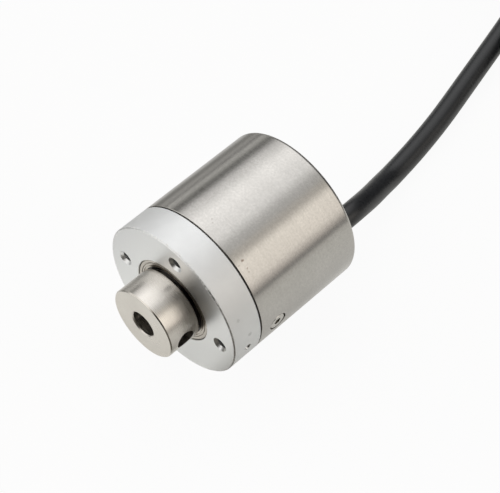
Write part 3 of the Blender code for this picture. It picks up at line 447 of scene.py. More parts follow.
def turned_metal(
    name, colour, roughness, grain, lines=0.04, anisotropy=0.3, edge=None, spots=None, shade_radius=None
):
    """Metal with fine lines round the Y axis: noise that is long round the axis and fine along it
    changes the roughness and the relief. A broad noise and a fine speckle change the tint. edge is
    a chamfer's radius, height and width, left smoother, and spots are small stains. The last
    argument is a radius within which the tint is near black: painted shade for the shadowed
    recess behind the hub, on the bearing shield."""
    material, shader = new_finish(name, colour, roughness, 1.0)
    tree = material.node_tree
    streaks = object_noise(tree, grain, 3.0, (0.03, 1.0, 0.03))
    cloud = object_noise(tree, 110.0, 4.0)
    speckle = object_noise(tree, 1900.0)
    darker = dimmed(colour, 0.88)
    tint = blended(tree, ranged(tree, cloud, 0.0, 1.0), darker, colour)
    tint = blended(tree, ranged(tree, speckle, 0.0, 17 * lines), tint, dimmed(colour, 0.76))
    tint = blended(tree, ranged(tree, streaks, 0.0, 6 * lines), tint, darker)
    tone = ranged(tree, streaks, roughness - lines, roughness + lines)
    if edge:
        tone = lessened(tree, tone, edge_share(tree, *edge), 0.6)
    if spots:
        tint = blended(tree, spot_share(tree, spots), tint, STAIN_COLOUR)
    # Painted shade: the tint goes near black within a radius, for the shield in the recess behind
    # the hub
    if shade_radius:
        inside = worked_out(tree, "LESS_THAN", radius_and_height(tree)[0], shade_radius)
        tint = blended(tree, inside, tint, RECESS_SHADE_COLOUR)
    link_look(tree, shader, tint, tone)
    bumped(tree, shader, streaks, 3 * lines, FINE_RELIEF)
    bumped(tree, shader, speckle, 6 * lines, FINE_RELIEF)
    shader.inputs["Anisotropic"].default_value = anisotropy
    shader.inputs["Anisotropic Rotation"].default_value = 0.25
    tangent = add_node(tree, "Tangent", direction_type="RADIAL", axis="Y")
    tree.links.new(tangent.outputs["Tangent"], shader.inputs["Tangent"])
    return material


def blasted_metal(name, colour, roughness, edge=None, spots=None):
    """Bead-blasted and anodised aluminium: a very fine even grain in relief and tone. Where an edge
    is given, as a chamfer's radius, height and width, the front face is smoother, the drilled and
    bored parts behind it are darker with painted shade, and the edge has small bright chips, partly
    a painted highlight. spots are small dull marks."""
    material, shader = new_finish(name, colour, roughness, 1.0)
    tree = material.node_tree
    grain = object_noise(tree, 5200.0, 2.0)
    cloud = object_noise(tree, 160.0, 4.0)
    tint = blended(tree, ranged(tree, cloud, 0.0, 1.0), dimmed(colour, 0.94), colour)
    tone = ranged(tree, grain, roughness - 0.05, roughness + 0.05)
    if edge:
        radius, height, width = edge
        away, along = radius_and_height(tree)
        within = worked_out(tree, "LESS_THAN", away, radius - 0.00005)
        behind = worked_out(tree, "GREATER_THAN", along, height + 0.00002)
        inner = worked_out(tree, "MULTIPLY", within, behind)
        # The face a little darker and smoother, and painted shade in the drilled and bored parts
        # behind it
        for share, dim, smooth in ((within, 0.93, 0.62), (inner, 0.88, 0.92)):
            tint = blended(tree, share, tint, dimmed(colour, dim))
            tone = lessened(tree, tone, share, smooth)
        # Bright white chips along the front edge: partly wear, partly a painted highlight on the
        # edge
        nicks_and_highlight = ranged(tree, object_noise(tree, 1500.0, 4.0), 0.0, 1.0, 0.50, 0.58)
        band = edge_share(tree, radius, height, 2.2 * width)
        nicks_and_highlight = worked_out(tree, "MULTIPLY", nicks_and_highlight, band)
        tint = blended(tree, nicks_and_highlight, tint, WHITE)
        tone = worked_out(tree, "MULTIPLY_ADD", nicks_and_highlight, 0.3, tone)
    if spots:
        tint = blended(tree, spot_share(tree, spots), tint, MARK_COLOUR)
    link_look(tree, shader, tint, tone)
    bumped(tree, shader, grain, 0.35, 0.00003)
    return material


def moulded_plastic(name, colour, roughness, grain=2500.0, relief=0.00001, metallic=0.0):
    """Moulded or extruded plastic or rubber, or a blackened metal, with a fine grain."""
    material, shader = new_finish(name, colour, roughness, metallic)
    tree = material.node_tree
    noise = object_noise(tree, grain)
    lighter = tuple(min(1.0, 1.3 * part + 0.002) for part in colour)
    tint = blended(tree, ranged(tree, noise, 0.0, 1.0), colour, lighter)
    link_look(tree, shader, tint, ranged(tree, noise, roughness - 0.04, roughness + 0.04))
    bumped(tree, shader, noise, 0.3, relief)
    return material


# ---- sizes that a user would change


def metres(name, description, default):
    """A length, in metres."""
    return FloatProperty(name=name, description=description, default=default, unit="LENGTH")


def rgb(name, description, default):
    """A colour."""
    return FloatVectorProperty(
        name=name, description=description, default=default, size=3, subtype="COLOR"
    )


class FlangeSettings(bpy.types.PropertyGroup):
    """Sizes and colour of the front flange."""

    radius: metres("Radius", "Outer radius of the flange", FLANGE_HIGH.x)
    edge: metres("Edge", "Chamfer on the front rim", 0.00025)
    hole_radius: metres("Hole radius", "Radius of a mounting hole", 0.00125)
    hole_sink: metres("Hole sink", "Radius of a hole's countersink", 0.0019)
    hole_circle: metres("Hole circle", "Radius of the circle of holes", 0.01465)
    holes: IntProperty(name="Holes", description="How many mounting holes", default=4)
    colour: rgb("Colour", "Tone of the anodised metal", (0.94, 0.95, 0.955))


class DrumSettings(bpy.types.PropertyGroup):
    """Sizes and colour of the drum."""

    radius: metres("Radius", "Outer radius of the drum", DRUM_HIGH.x)
    wall: metres("Wall", "Thickness of its wall", 0.0015)
    rear_wall: metres("Rear wall", "Thickness of its rear", 0.0020)
    rear_round: metres("Rear round", "Radius of the rear edge", 0.0010)
    colour: rgb("Colour", "Tone of the steel", (0.65, 0.63, 0.60))


class HubSettings(bpy.types.PropertyGroup):
    """Sizes and colour of the hub and shaft."""

    radius: metres("Radius", "Outer radius of the hub", 0.0088)
    bore: metres("Bore radius", "Radius of the shaft bore", 0.003175)
    depth: metres("Bore depth", "Depth of the shaft bore", 0.0140)
    edge: metres("Edge", "Chamfer of the hub", 0.00025)
    colour: rgb("Colour", "Tone of the steel", (0.77, 0.735, 0.685))


class FastenerSettings(bpy.types.PropertyGroup):
    """Sizes and colour of the visible screws."""

    head: metres("Drum screw head", "Radius of a drum screw's head", 0.0020)
    set_screw: metres("Set screw", "Radius of the hub's set screw", 0.0019)
    colour: rgb("Colour", "Tone of the drum screws", (0.74, 0.72, 0.68))


class CableSettings(bpy.types.PropertyGroup):
    """Sizes and colour of the cable."""

    radius: metres("Radius", "Radius of the cable", 0.00275)
    lead_radius: metres("Lead radius", "Radius of a lead in it", 0.00045)
    colour: rgb("Colour", "Colour of the jacket", (0.011, 0.012, 0.014))


class StageSettings(bpy.types.PropertyGroup):
    """The floor and the camera."""

    floor_colour: rgb("Floor", "Colour of the floor", (0.80, 0.80, 0.80))
    lens: FloatProperty(
        name="Lens", description="Focal length in millimetres", default=117.8, unit="CAMERA"
    )
    camera_place: FloatVectorProperty(
        name="Camera place", default=(0.153594, -0.131752, 0.287298), size=3, unit="LENGTH"
    )


# ---- pieces


class SENSOR_OT_flange(bpy.types.Operator):
    """Build the flange with its holes, bearing seats and spigot"""

    bl_idname = "sensor.flange"
    bl_label = "Flange"

    def execute(self, context):
        """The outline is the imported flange's, with its holes cut."""
        size = context.scene.sensor_flange
        end, back, edge, spigot = FLANGE_HIGH.y, 0.0079, size.edge, 0.0173
        seat, clip, (clip_front, clip_back) = 0.0106, 0.0113, CLIP_GROOVE
        ring, ring_front, ring_back = 0.0160, 0.0096, 0.0111
        web, web_front, web_back = 0.0093, 0.0056, 0.0102
        profile = [
            (seat, end), (spigot - edge, end), (spigot, end - edge), (spigot, ring_back),
            (ring, ring_back), (ring, ring_front), (spigot, ring_front), (spigot, back),
            (size.radius - edge / 2, back), (size.radius, back - edge / 2),
            (size.radius, edge), (size.radius - edge, 0.0),
            (seat + edge / 2, 0.0), (seat, edge / 2), (seat, web_front),
            (web, web_front), (web, web_back), (seat, web_back),
            (seat, clip_front), (clip, clip_front), (clip, clip_back), (seat, clip_back),
        ]
        metal = blasted_metal(
            "blasted_aluminium", size.colour, 0.60, (size.radius, 0.0, edge), FLANGE_MARKS
        )
        flange = turned_piece(
            "flange_finish", profile, BODY_STEPS, "root", "bead_blasted_aluminium", metal
        )
        sink, hole, deep = size.hole_sink, size.hole_radius, -0.0060
        drilled = [
            (0.0, OVER), (sink + OVER, OVER), (hole, hole - sink), (hole, deep),
            (0.0, deep - DRILL_POINT * hole),
        ]
        cutters = []
        for i in range(size.holes):
            angle = FEATURE_ANGLE + math.tau * i / size.holes
            x, z = size.hole_circle * math.cos(angle), size.hole_circle * math.sin(angle)
            cutters.append(turned_shape(drilled, 48, axial_place((x, 0.0, z), -1.0)))
        dimple = [(0.0, OVER), (0.0012, OVER), (0.0008, -0.0001), (0.0005, -0.0009)]
        dimple += [(0.0, -0.0013)]
        cutters.append(turned_shape(dimple, 32, radial_place(size.radius, FEATURE_ANGLE, 0.0040)))
        tapped = [(0.0, OVER), (0.0013, OVER), (0.0013, -0.0036), (0.0, -0.0044)]
        for angle in DRUM_SCREW_ANGLES:
            cutters.append(turned_shape(tapped, 32, radial_place(spigot, angle, DRUM_SCREW_Y)))
        cut_away(flange, cutters)
        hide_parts("flange")
        return {"FINISHED"}


class SENSOR_OT_drum(bpy.types.Operator):
    """Build the drum with its rounded rear edge, screw seats and cable hole"""

    bl_idname = "sensor.drum"
    bl_label = "Drum"

    def execute(self, context):
        """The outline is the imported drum's, with a small broken edge at its mouth."""
        size = context.scene.sensor_drum
        start, end, bend, broken = DRUM_LOW.y, DRUM_HIGH.y, size.rear_round, 0.00008
        bore, bottom = size.radius - size.wall, end - size.rear_wall
        profile = [(0.0, end)] + round_edge(size.radius - bend, end - bend, bend, 90, 0, 8)
        profile += [(size.radius, start + broken), (size.radius - broken, start), (bore, start)]
        profile += [(bore, bottom), (0.0, bottom)]
        metal = turned_metal(
            "turned_steel_drum", size.colour, 0.22, 4200.0, anisotropy=0.7, spots=DRUM_STAINS
        )
        drum = turned_piece("drum_finish", profile, BODY_STEPS, "root", "brushed_steel", metal)
        head, shank, deep = context.scene.sensor_fasteners.head + 0.0003, 0.0013, 0.0006
        seat = [(0.0, 0.001), (head, 0.001), (head, -deep), (shank, -deep - (head - shank))]
        seat += [(shank, -0.003), (0.0, -0.003)]
        sunk = size.radius - DRUM_SCREW_SINK
        cutters = [
            turned_shape(seat, 48, radial_place(sunk, angle, DRUM_SCREW_Y))
            for angle in DRUM_SCREW_ANGLES
        ]
        hole, reach = 0.0041, 0.003
        through = [(0.0, reach), (hole, reach), (hole, -reach), (0.0, -reach)]
        middle = (CABLE_EXIT[0], end - size.rear_wall / 2, CABLE_EXIT[2])
        cutters.append(turned_shape(through, 64, axial_place(middle)))
        cut_away(drum, cutters)
        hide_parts("housing")
        return {"FINISHED"}


class SENSOR_OT_hub(bpy.types.Operator):
    """Build the hub and its shaft, with the bore and the set screw's hole"""

    bl_idname = "sensor.hub"
    bl_label = "Hub"

    def execute(self, context):
        """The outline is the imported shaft's, with the radial hole cut."""
        size = context.scene.sensor_hub
        front, back, edge = HUB_LOW.y, HUB_HIGH.y, size.edge
        shaft_end, bottom = back - 0.0020, front + size.depth
        stub, shaft, shoulder, bevel, mouth = 0.0025, 0.0058, 0.0070, 0.0002, 0.00025
        clip, (clip_front, clip_back) = 0.0052, CLIP_GROOVE
        profile = [
            (0.0, back), (stub - bevel, back), (stub, back - bevel), (stub, shaft_end),
            (shaft - bevel, shaft_end), (shaft, shaft_end - bevel), (shaft, clip_back),
            (clip, clip_back), (clip, clip_front), (shaft, clip_front), (shaft, 0.0),
            (shoulder, 0.0), (shoulder, HUB_BACK),
            (size.radius - edge, HUB_BACK), (size.radius, HUB_BACK - edge),
            (size.radius, front + edge), (size.radius - edge, front),
            (size.bore + mouth, front), (size.bore, front + mouth), (size.bore, bottom),
            (0.0, bottom + DRILL_POINT * size.bore),
        ]
        metal = turned_metal(
            "turned_steel_hub", size.colour, 0.28, 5200.0, 0.012, edge=(size.radius, front, edge)
        )
        hub = turned_piece("hub_finish", profile, RING_STEPS, "shaft", "turned_steel", metal)
        radius, deep = context.scene.sensor_fasteners.set_screw + 0.0004, 0.0072
        hole = [(0.0, OVER), (radius + OVER, OVER), (radius, 0.0), (radius, -deep)]
        hole += [(0.0, -deep - 0.0006)]
        place = radial_place(size.radius, FEATURE_ANGLE, SET_SCREW_Y)
        cut_away(hub, [turned_shape(hole, 64, place)])
        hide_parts("hub_shaft")
        return {"FINISHED"}


class SENSOR_OT_front_bearing(bpy.types.Operator):
    """Build the front bearing's rings and its shield, which show round the hub"""

    bl_idname = "sensor.front_bearing"
    bl_label = "Front bearing"

    def execute(self, context):
        """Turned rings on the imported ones' outlines, with fine rounded edges."""
        low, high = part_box("front_bearing_outer_ring")
        start, end, radius = low.y, high.y, high.x
        metal = turned_metal("ground_steel_ring", *RING_METAL)
        step, land = radius - 0.00075, radius - 0.0013
        edge, depth, mouth = 0.00015, 0.00055, 0.00008
        outer = [(radius, end - edge), (radius, start + edge), (radius - edge, start)]
        outer += [(step + mouth, start), (step, start + mouth), (step, start + depth)]
        outer += [(land, start + depth)] + self.ball_groove(start, end, land, 0)
        outer += [(land, end - depth), (step, end - depth), (step, end), (radius - edge, end)]
        ring = turned_piece(
            "front_bearing_outer_finish", outer, RING_STEPS, "root", "bearing_steel", metal
        )
        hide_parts("front_bearing_outer_ring")
        bore, land = 0.0060, 0.0073
        inner = [(bore, end - edge), (bore + edge, end), (land, end)]
        inner += self.ball_groove(start, end, land, 180)
        inner += [(land, start), (bore + edge, start), (bore, start + edge)]
        ring = turned_piece(
            "front_bearing_inner_finish", inner, 160, "shaft", "bearing_steel", metal
        )
        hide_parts("front_bearing_inner_ring")
        outer, inner, face = step - 0.00014, land + 0.0002, start + 0.00005
        line, dish, back = face + 0.0002, face + 0.00042, face + 0.00048
        shield = [
            (outer - 0.00038, face), (outer - 0.00042, line), (outer - 0.00056, line),
            (outer - 0.0006, face), (outer - 0.00094, face), (outer - 0.00098, dish),
            (inner, dish), (inner, back), (outer, back), (outer, face + 0.00004),
            (outer - 0.00004, face),
        ]
        # The shield's dished middle gets painted shade, near black, for the recess behind the hub
        metal = turned_metal("shield_steel_painted_shade", *RING_METAL, shade_radius=outer - 0.00096)
        piece = turned_piece(
            "front_bearing_shield", shield, RING_STEPS, "root", "bearing_steel", metal
        )
        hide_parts("front_bearing_front_seal")
        return {"FINISHED"}

    def ball_groove(self, start, end, land, facing):
        """The ring's groove: an arc about the ball's centre, facing an angle from its land."""
        pitch, groove = 0.00825, 0.00139
        opening = math.degrees(math.acos(abs(land - pitch) / groove))
        middle = (start + end) / 2
        return round_edge(pitch, middle, groove, facing - opening, facing + opening, 10)


class SENSOR_OT_fasteners(bpy.types.Operator):
    """Build the two drum screws and the hub's set screw"""

    bl_idname = "sensor.fasteners"
    bl_label = "Fasteners"

    def execute(self, context):
        """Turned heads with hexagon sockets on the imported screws' places."""
        size = context.scene.sensor_fasteners
        drum = context.scene.sensor_drum.radius
        steel = turned_metal("satin_screw_steel", size.colour, 0.24, 5000.0, 0.02, 0.0)
        head, shank, long, edge = size.head, 0.0011, 0.0050, 0.0001
        profile = [
            (0.0, 0.0), (head - edge, 0.0), (head, -edge), (head, -2 * edge),
            (shank, -2 * edge - (head - shank)), (shank, -long + shank / 2), (shank / 2, -long),
            (0.0, -long),
        ]
        for i, angle in enumerate(DRUM_SCREW_ANGLES, 1):
            place = radial_place(drum - DRUM_SCREW_SINK, angle, DRUM_SCREW_Y)
            name = f"housing_screw_{i}"
            screw = turned_piece(
                f"{name}_finish", profile, SCREW_STEPS, "root", "screw_steel", steel, place
            )
            cut_away(screw, [hex_cutter(0.0016, 0.0011, place)])
            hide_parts(name)
        black = moulded_plastic("blackened_steel", (0.02, 0.02, 0.022), 0.42, 3000.0, metallic=0.6)
        radius, long, edge = size.set_screw, 0.0030, 0.0002
        profile = [
            (0.0, 0.0), (radius - edge, 0.0), (radius, -edge), (radius, -long + radius / 2),
            (radius / 2, -long), (0.0, -long),
        ]
        hub = context.scene.sensor_hub.radius
        place = radial_place(hub - SET_SCREW_SINK, FEATURE_ANGLE, SET_SCREW_Y)
        screw = turned_piece(
            "hub_set_screw_finish", profile, SCREW_STEPS, "shaft", "blackened_steel", black, place
        )
        cut_away(screw, [hex_cutter(0.0020, 0.0015, place)])
        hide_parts("hub_set_screw")
        return {"FINISHED"}


class SENSOR_OT_cable(bpy.types.Operator):
    """Build the relief, the cable with its hank, the tie and the bare leads"""

    bl_idname = "sensor.cable"
    bl_label = "Cable"

    def execute(self, context):
        """One tube follows the whole route, so the cord keeps its real length."""
        size = context.scene.sensor_cable
        relief = self.make_relief(size)
        jacket = moulded_plastic("cable_jacket", size.colour, 0.31, 1400.0)
        line = self.cable_line()
        cable = tube_piece("cable_finish", line, size.radius, 28, "root", "cable_jacket", jacket)
        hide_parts("cable", "cable_hank", "cable_tail")
        tie = self.make_tie()
        leads = self.make_leads(size, line[-1])
        return {"FINISHED"}

    def cable_line(self):
        """The centreline: the free route, four turns of the hank on two layers, and the tail. Each
        turn runs away from the drum on one side and back on the other, where the last one rises."""
        x, near, far, tail_end = 0.0050, 0.1500, 0.2040, 0.1780
        big, small, low, middle, top = 0.0195, 0.0140, -0.01515, -0.00965, -0.00385
        start, rise = near + 0.006, near + 0.027
        free = np.array([CABLE_EXIT, *CABLE_ROUTE, (x - big, start, low)])
        parts = [smooth_line(free, 0.001)]
        for first, last, level, risen, after in (
            (big, small, low, low, low), (small, small, low, low, middle),
            (small, big, middle, middle, middle), (big, big, middle, top, top),
        ):
            parts += [
                self.run(x - first, start, far, level, level),
                self.turn(x, far, first, first, level, level, True),
                self.run(x + first, far, rise, level, level),
                self.run(x + first, rise, near, level, risen),
                self.turn(x, near, first, last, risen, after, False, late=last < first),
            ]
            start = near
        parts.append(self.run(x - big, near, tail_end, top, top))
        return even_steps(np.vstack(parts), 0.0018)

    def run(self, x, first, last, start, end):
        """A straight run along Y. Its height goes from start to end as 3s^2 - 2s^3."""
        s = np.linspace(0.0, 1.0, 25)[:-1]
        ease = s * s * (3 - 2 * s)
        y = first + (last - first) * s
        return np.stack([np.full_like(s, x), y, start + (end - start) * ease], 1)

    def turn(self, x, y, first, last, start, end, at_far_end, late=False):
        """Half a turn, x + r cos a and y + r sin a. The radius eases from first to last in the
        turn's first or last part, and the height from start to end in its middle part."""
        s = np.linspace(0.0, 1.0, 49)[:-1]
        angle = math.pi * (1 - s) if at_far_end else -math.pi * s
        part = np.clip((s - 0.60) / 0.40 if late else s / 0.40, 0.0, 1.0)
        radius = first + (last - first) * part * part * (3 - 2 * part)
        rise = np.clip((s - 0.32) / 0.36, 0.0, 1.0)
        height = start + (end - start) * rise * rise * (3 - 2 * rise)
        return np.stack([x + radius * np.cos(angle), y + radius * np.sin(angle), height], 1)

    def make_relief(self, size):
        """A turned relief with rounded ribs, tapering from the drum to its tip."""
        low, high, wall = RELIEF_LOW.y, RELIEF_HIGH.y, DRUM_HIGH.y
        bore, face, soft = size.radius + 0.0002, wall + 0.0003, 0.0002
        root, tip, rows, rim = 0.0045, 0.0036, 3, 0.0003
        pitch, groove_floor = (high - wall) / (rows + 1), bore + 0.0004
        neck, foot, step = 0.0039, 0.0048, low + 0.0012
        profile = [(bore, high), (bore + 0.0001, high)]
        profile += round_edge(tip - rim, high - rim, rim, 90, 0, 4)
        for i in range(rows):
            place = high - pitch * (i + 0.7)
            groove = pitch * 0.35
            radius = tip + (root - tip) * (high - place) / (high - wall)
            profile += round_edge(radius - soft, place + soft, soft, 0, -90, 3)
            profile += [(groove_floor, place - part * groove) for part in (0.1, 0.9)]
            profile += round_edge(radius - soft, place - groove - soft, soft, 90, 0, 3)
        profile += round_edge(root - soft, face + soft, soft, 0, -90, 3)
        profile += [(neck, face), (neck, step), (foot, step), (foot, low), (bore, low)]
        rubber = moulded_plastic("moulded_rubber", (0.018, 0.018, 0.019), 0.55, 1800.0)
        place = axial_place((CABLE_EXIT[0], 0.0, CABLE_EXIT[2]))
        relief = turned_piece(
            "strain_relief_finish", profile, 64, "root", "black_rubber", rubber, place
        )
        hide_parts("strain_relief")
        return relief

    def make_tie(self):
        """A woven strap round the hank: sections along a rectangle with rounded corners."""
        material = moulded_plastic("woven_strap", (0.02, 0.02, 0.021), 0.75, 1100.0, 0.00008)
        thick, bend, soft = 0.0008, 0.0035, 0.0002
        low, high = np.array([TIE_LOW.x, TIE_LOW.z]), np.array([TIE_HIGH.x, TIE_HIGH.z])
        turn = np.radians(np.arange(0, 360, 90)[:, None] + np.arange(0, 91, 10)).ravel()
        out = np.stack([np.cos(turn), np.sin(turn)], 1)
        side = np.repeat([(1, 1), (-1, 1), (-1, -1), (1, -1)], 10, axis=0)
        path = (low + high) / 2 + side * ((high - low) / 2 - bend) + bend * out
        low, high = TIE_LOW.y, TIE_HIGH.y
        section = np.array([
            (0.0, low + soft), (0.0, high - soft), (-soft, high), (-thick + soft, high),
            (-thick, high - soft), (-thick, low + soft), (-thick + soft, low), (-soft, low),
        ])
        flat = path[:, None] + out[:, None] * section[None, :, :1]
        along = np.broadcast_to(section[:, 1], flat.shape[:2])
        points = np.stack([flat[..., 0], along, flat[..., 1]], -1)
        faces = grid_faces(len(path), len(section), True)
        tie = new_piece("cable_tie_finish", points, faces, "root", "black_rubber", material)
        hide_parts("cable_tie")
        return tie

    def make_leads(self, size, end):
        """Three insulated leads that fan out of the jacket and come to rest on the hank."""
        leads = []
        s = np.linspace(0.0, 1.0, 25)[:, None]
        for i, (name, colour) in enumerate(LEAD_COLOURS.items()):
            side = (i - 1) * 0.0012
            across = side * (1 + 0.9 * np.sin(s * math.pi / 2))
            drop = -(size.radius - size.lead_radius) * 0.9 * s * s * (3 - 2 * s)
            path = np.array(end) + np.hstack([across, 0.0001 + 0.0152 * s, drop])
            finish = moulded_plastic(f"lead_{name}", colour, 0.42)
            slot = f"lead_{name}"
            lead = tube_piece(
                f"tail_lead_{name}_finish", path, size.lead_radius, 16, "root", slot, finish
            )
            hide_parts(f"tail_lead_{name}")
            leads.append(lead)
        return leads


class SENSOR_OT_inner_pieces(bpy.types.Operator):
    """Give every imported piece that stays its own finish"""

    bl_idname = "sensor.inner_pieces"
    bl_label = "Inner pieces"

    def execute(self, context):
        """The record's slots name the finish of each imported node."""
        finishes = {
            "bead_blasted_aluminium": blasted_metal("inner_aluminium", (0.80, 0.81, 0.81), 0.42),
            "brushed_steel": turned_metal("inner_drum_steel", (0.62, 0.60, 0.57), 0.30, 4000.0),
            "turned_steel": turned_metal("inner_shaft_steel", (0.62, 0.59, 0.55), 0.28, 5000.0),
            "bearing_steel": turned_metal("inner_ring_steel", (0.60, 0.59, 0.57), 0.22, 6000.0),
            "screw_steel": turned_metal("inner_screw_steel", (0.60, 0.58, 0.55), 0.32, 5000.0),
            "blackened_steel": moulded_plastic(
                "inner_black_steel", (0.03, 0.03, 0.03), 0.42, metallic=0.6
            ),
            "brass": turned_metal("turned_brass", (0.66, 0.52, 0.24), 0.30, 4000.0),
            "magnet_grey": blasted_metal("plated_magnet", (0.36, 0.36, 0.37), 0.32),
            "circuit_board_green": moulded_plastic(
                "circuit_board", (0.02, 0.16, 0.06), 0.40, 1800.0
            ),
            "chip_black": moulded_plastic("moulded_chip", (0.02, 0.02, 0.02), 0.55),
            "capacitor_silver": blasted_metal("drawn_can", (0.70, 0.70, 0.70), 0.30),
            "connector_white": moulded_plastic("connector_body", (0.75, 0.74, 0.70), 0.5),
            "black_rubber": moulded_plastic("inner_rubber", (0.02, 0.02, 0.02), 0.6),
            "cable_jacket": moulded_plastic("inner_jacket", (0.015, 0.016, 0.02), 0.4),
        }
        for name, colour in LEAD_COLOURS.items():
            finishes[f"lead_{name}"] = moulded_plastic(f"inner_lead_{name}", colour, 0.45)
        for part in frame["record"]["subparts"]:
            node = frame["nodes"][part["node"]]
            if not node.hide_render:
                node.data.materials.clear()
                node.data.materials.append(finishes[part["material_slot"]])
        return {"FINISHED"}


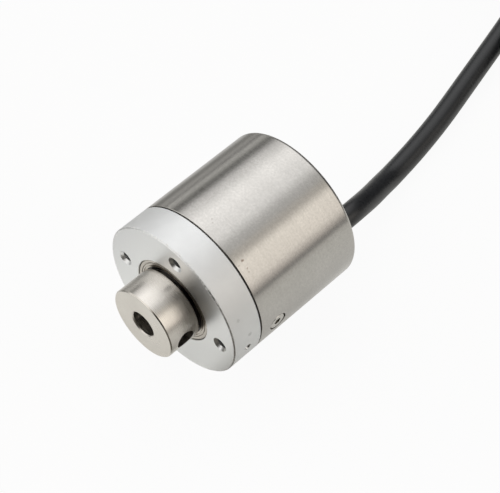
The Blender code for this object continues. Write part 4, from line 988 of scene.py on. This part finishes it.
class SENSOR_OT_stage(bpy.types.Operator):
    """Build the floor, the studio light and the camera"""

    bl_idname = "sensor.stage"
    bl_label = "Stage"

    def execute(self, context):
        """A pale floor under the drum and the cable, light all round, and the photograph's view."""
        size = context.scene.sensor_stage
        self.make_floor(size)
        self.light_world()
        self.make_camera(size)
        context.scene.view_settings.view_transform = "Standard"
        return {"FINISHED"}

    def make_floor(self, size):
        """One large square. The camera sees it nearly white, with a part of its shadows. The metal
        sees painted light and shade on it, as its tone and as a glow: the light falls off to the
        left, far to the right and far behind, and a painted shadow of the sensor lies in front on
        the right."""
        half, level = 3.0, DRUM_LOW.z
        corners = [(x * half, y * half, level) for x, y in ((-1, -1), (1, -1), (1, 1), (-1, 1))]
        floor = new_object("floor", corners, [(0, 1, 2, 3)])
        material, shader = new_finish("pale_floor", size.floor_colour, 0.9)
        floor.data.materials.append(material)
        tree = material.node_tree
        rays = add_node(tree, "LightPath").outputs
        camera, glossy = rays["Is Camera Ray"], rays["Is Glossy Ray"]
        x, y, _ = split(tree, object_place(tree))
        # Painted light and shade for all but camera rays: darker to the left, to the right and far
        # behind
        lit = self.toned(tree, ranged(tree, x, 0.0, 1.0, -0.20, 0.40), PAINTED_FLOOR_LIGHT)
        # Painted shadow of the sensor: a warm dark patch on the floor in front on the right
        right = ranged(tree, x, 0.0, 1.0, 0.008, 0.016)
        shade = worked_out(tree, "MULTIPLY", right, ranged(tree, y, 0.0, 1.0, 0.002, -0.003))
        lit = blended(tree, shade, lit, (0.14, 0.13, 0.11))
        lit = blended(tree, ranged(tree, y, 0.0, 1.0, 0.14, 0.24), lit, (0.20, 0.20, 0.20))
        tone = blended(tree, camera, lit, size.floor_colour)
        tree.links.new(tone, shader.inputs["Base Color"])
        # Reflections also see the painted light and shade as a glow, at a share of 0.45
        white = blended(tree, camera, lit, WHITE)
        glow = add_node(tree, "Emission", {"Color": white, "Strength": 1.0})
        glow_seen, glow_mirrored = 0.94, 0.45
        seen = worked_out(tree, "MULTIPLY", camera, glow_seen)
        share = worked_out(tree, "MULTIPLY_ADD", glossy, glow_mirrored, seen)
        mix = add_node(tree, "MixShader", {0: share, 1: shader.outputs[0], 2: glow.outputs[0]})
        tree.links.new(mix.outputs[0], tree.nodes["Material Output"].inputs["Surface"])

    def toned(self, tree, value, tones):
        """A soft ramp through tones, each a place from 0 to 1 and a colour."""
        node = add_node(tree, "ValToRGB", {"Fac": value})
        node.color_ramp.interpolation = "EASE"
        stops = node.color_ramp.elements
        while len(stops) < len(tones):
            stops.new(0.5)
        for stop, (place, colour) in zip(stops, tones):
            stop.position = place
            stop.color = (*colour, 1.0)
        return node.outputs["Color"]

    def light_world(self):
        """Soft light from long panels: the tone depends on the angle round the shaft's axis,
        atan2(z, x), with one row of panels behind the object and another in front, where a dark
        screen stands on the right. Straight behind it is dark too."""
        world = bpy.data.worlds.new("studio")
        bpy.context.scene.world = world
        world.use_nodes = True
        tree = world.node_tree
        x, y, z = split(tree, add_node(tree, "TexCoord").outputs["Generated"])
        first, last = -math.pi / 2, 1.5 * math.pi
        angle = worked_out(tree, "WRAP", worked_out(tree, "ARCTAN2", z, x), last, first)
        share = ranged(tree, angle, 0.0, 1.0, first, last)
        rear, front = (
            self.toned(tree, share, [((turn + 90) / 360, tone) for turn, tone in panels])
            for panels in (REAR_PANELS, FRONT_PANELS)
        )
        light = blended(tree, ranged(tree, y, 0.0, 1.0, 0.15, -0.15), rear, front)
        light = blended(tree, ranged(tree, y, 0.0, 1.0, 0.66, 0.80), light, (0.08, 0.08, 0.08))
        camera = add_node(tree, "LightPath").outputs["Is Camera Ray"]
        light = blended(tree, camera, light, WHITE)
        tree.links.new(light, tree.nodes["Background"].inputs["Color"])

    def make_camera(self, size):
        """The camera that the photograph's outlines gave, level and without shift."""
        camera = bpy.data.objects.new("camera", bpy.data.cameras.new("camera"))
        bpy.context.scene.collection.objects.link(camera)
        camera.data.lens = size.lens
        camera.data.sensor_width = 36.0
        camera.data.clip_start, camera.data.clip_end = 0.01, 10.0
        camera.location = size.camera_place
        camera.rotation_mode = "QUATERNION"
        ahead = Vector((-0.42255, 0.42794, -0.79895))
        camera.rotation_quaternion = ahead.to_track_quat("-Z", "Y")
        bpy.context.scene.camera = camera


class SENSOR_PT_panel(bpy.types.Panel):
    """Lists the sensor's sizes and the operators that build it."""

    bl_label = "Rotary angle sensor"
    bl_idname = "SENSOR_PT_panel"
    bl_space_type = "VIEW_3D"
    bl_region_type = "UI"
    bl_category = "Sensor"

    def draw(self, context):
        """One box for each piece: its sizes, then its button."""
        for settings, group, operators in PANEL_ROWS:
            box = self.layout.box()
            for name in group.__annotations__:
                box.prop(getattr(context.scene, settings), name)
            for operator in operators:
                box.operator(operator.bl_idname)


PANEL_ROWS = (
    ("sensor_flange", FlangeSettings, (SENSOR_OT_flange,)),
    ("sensor_drum", DrumSettings, (SENSOR_OT_drum,)),
    ("sensor_hub", HubSettings, (SENSOR_OT_hub, SENSOR_OT_front_bearing)),
    ("sensor_fasteners", FastenerSettings, (SENSOR_OT_fasteners,)),
    ("sensor_cable", CableSettings, (SENSOR_OT_cable, SENSOR_OT_inner_pieces)),
    ("sensor_stage", StageSettings, (SENSOR_OT_stage,)),
)


def register():
    """Registers the settings, operators and panel."""
    for name, group, operators in PANEL_ROWS:
        for part in (group, *operators):
            bpy.utils.register_class(part)
        setattr(bpy.types.Scene, name, PointerProperty(type=group))
    bpy.utils.register_class(SENSOR_PT_panel)


def unregister():
    """Takes them out again, in reverse."""
    bpy.utils.unregister_class(SENSOR_PT_panel)
    for name, group, operators in reversed(PANEL_ROWS):
        delattr(bpy.types.Scene, name)
        for part in reversed((group, *operators)):
            bpy.utils.unregister_class(part)


def main():
    """Builds every piece and the stage."""
    register()
    bpy.ops.sensor.flange()
    bpy.ops.sensor.drum()
    bpy.ops.sensor.hub()
    bpy.ops.sensor.front_bearing()
    bpy.ops.sensor.fasteners()
    bpy.ops.sensor.cable()
    bpy.ops.sensor.inner_pieces()
    bpy.ops.sensor.stage()


if __name__ == "__main__":
    main()
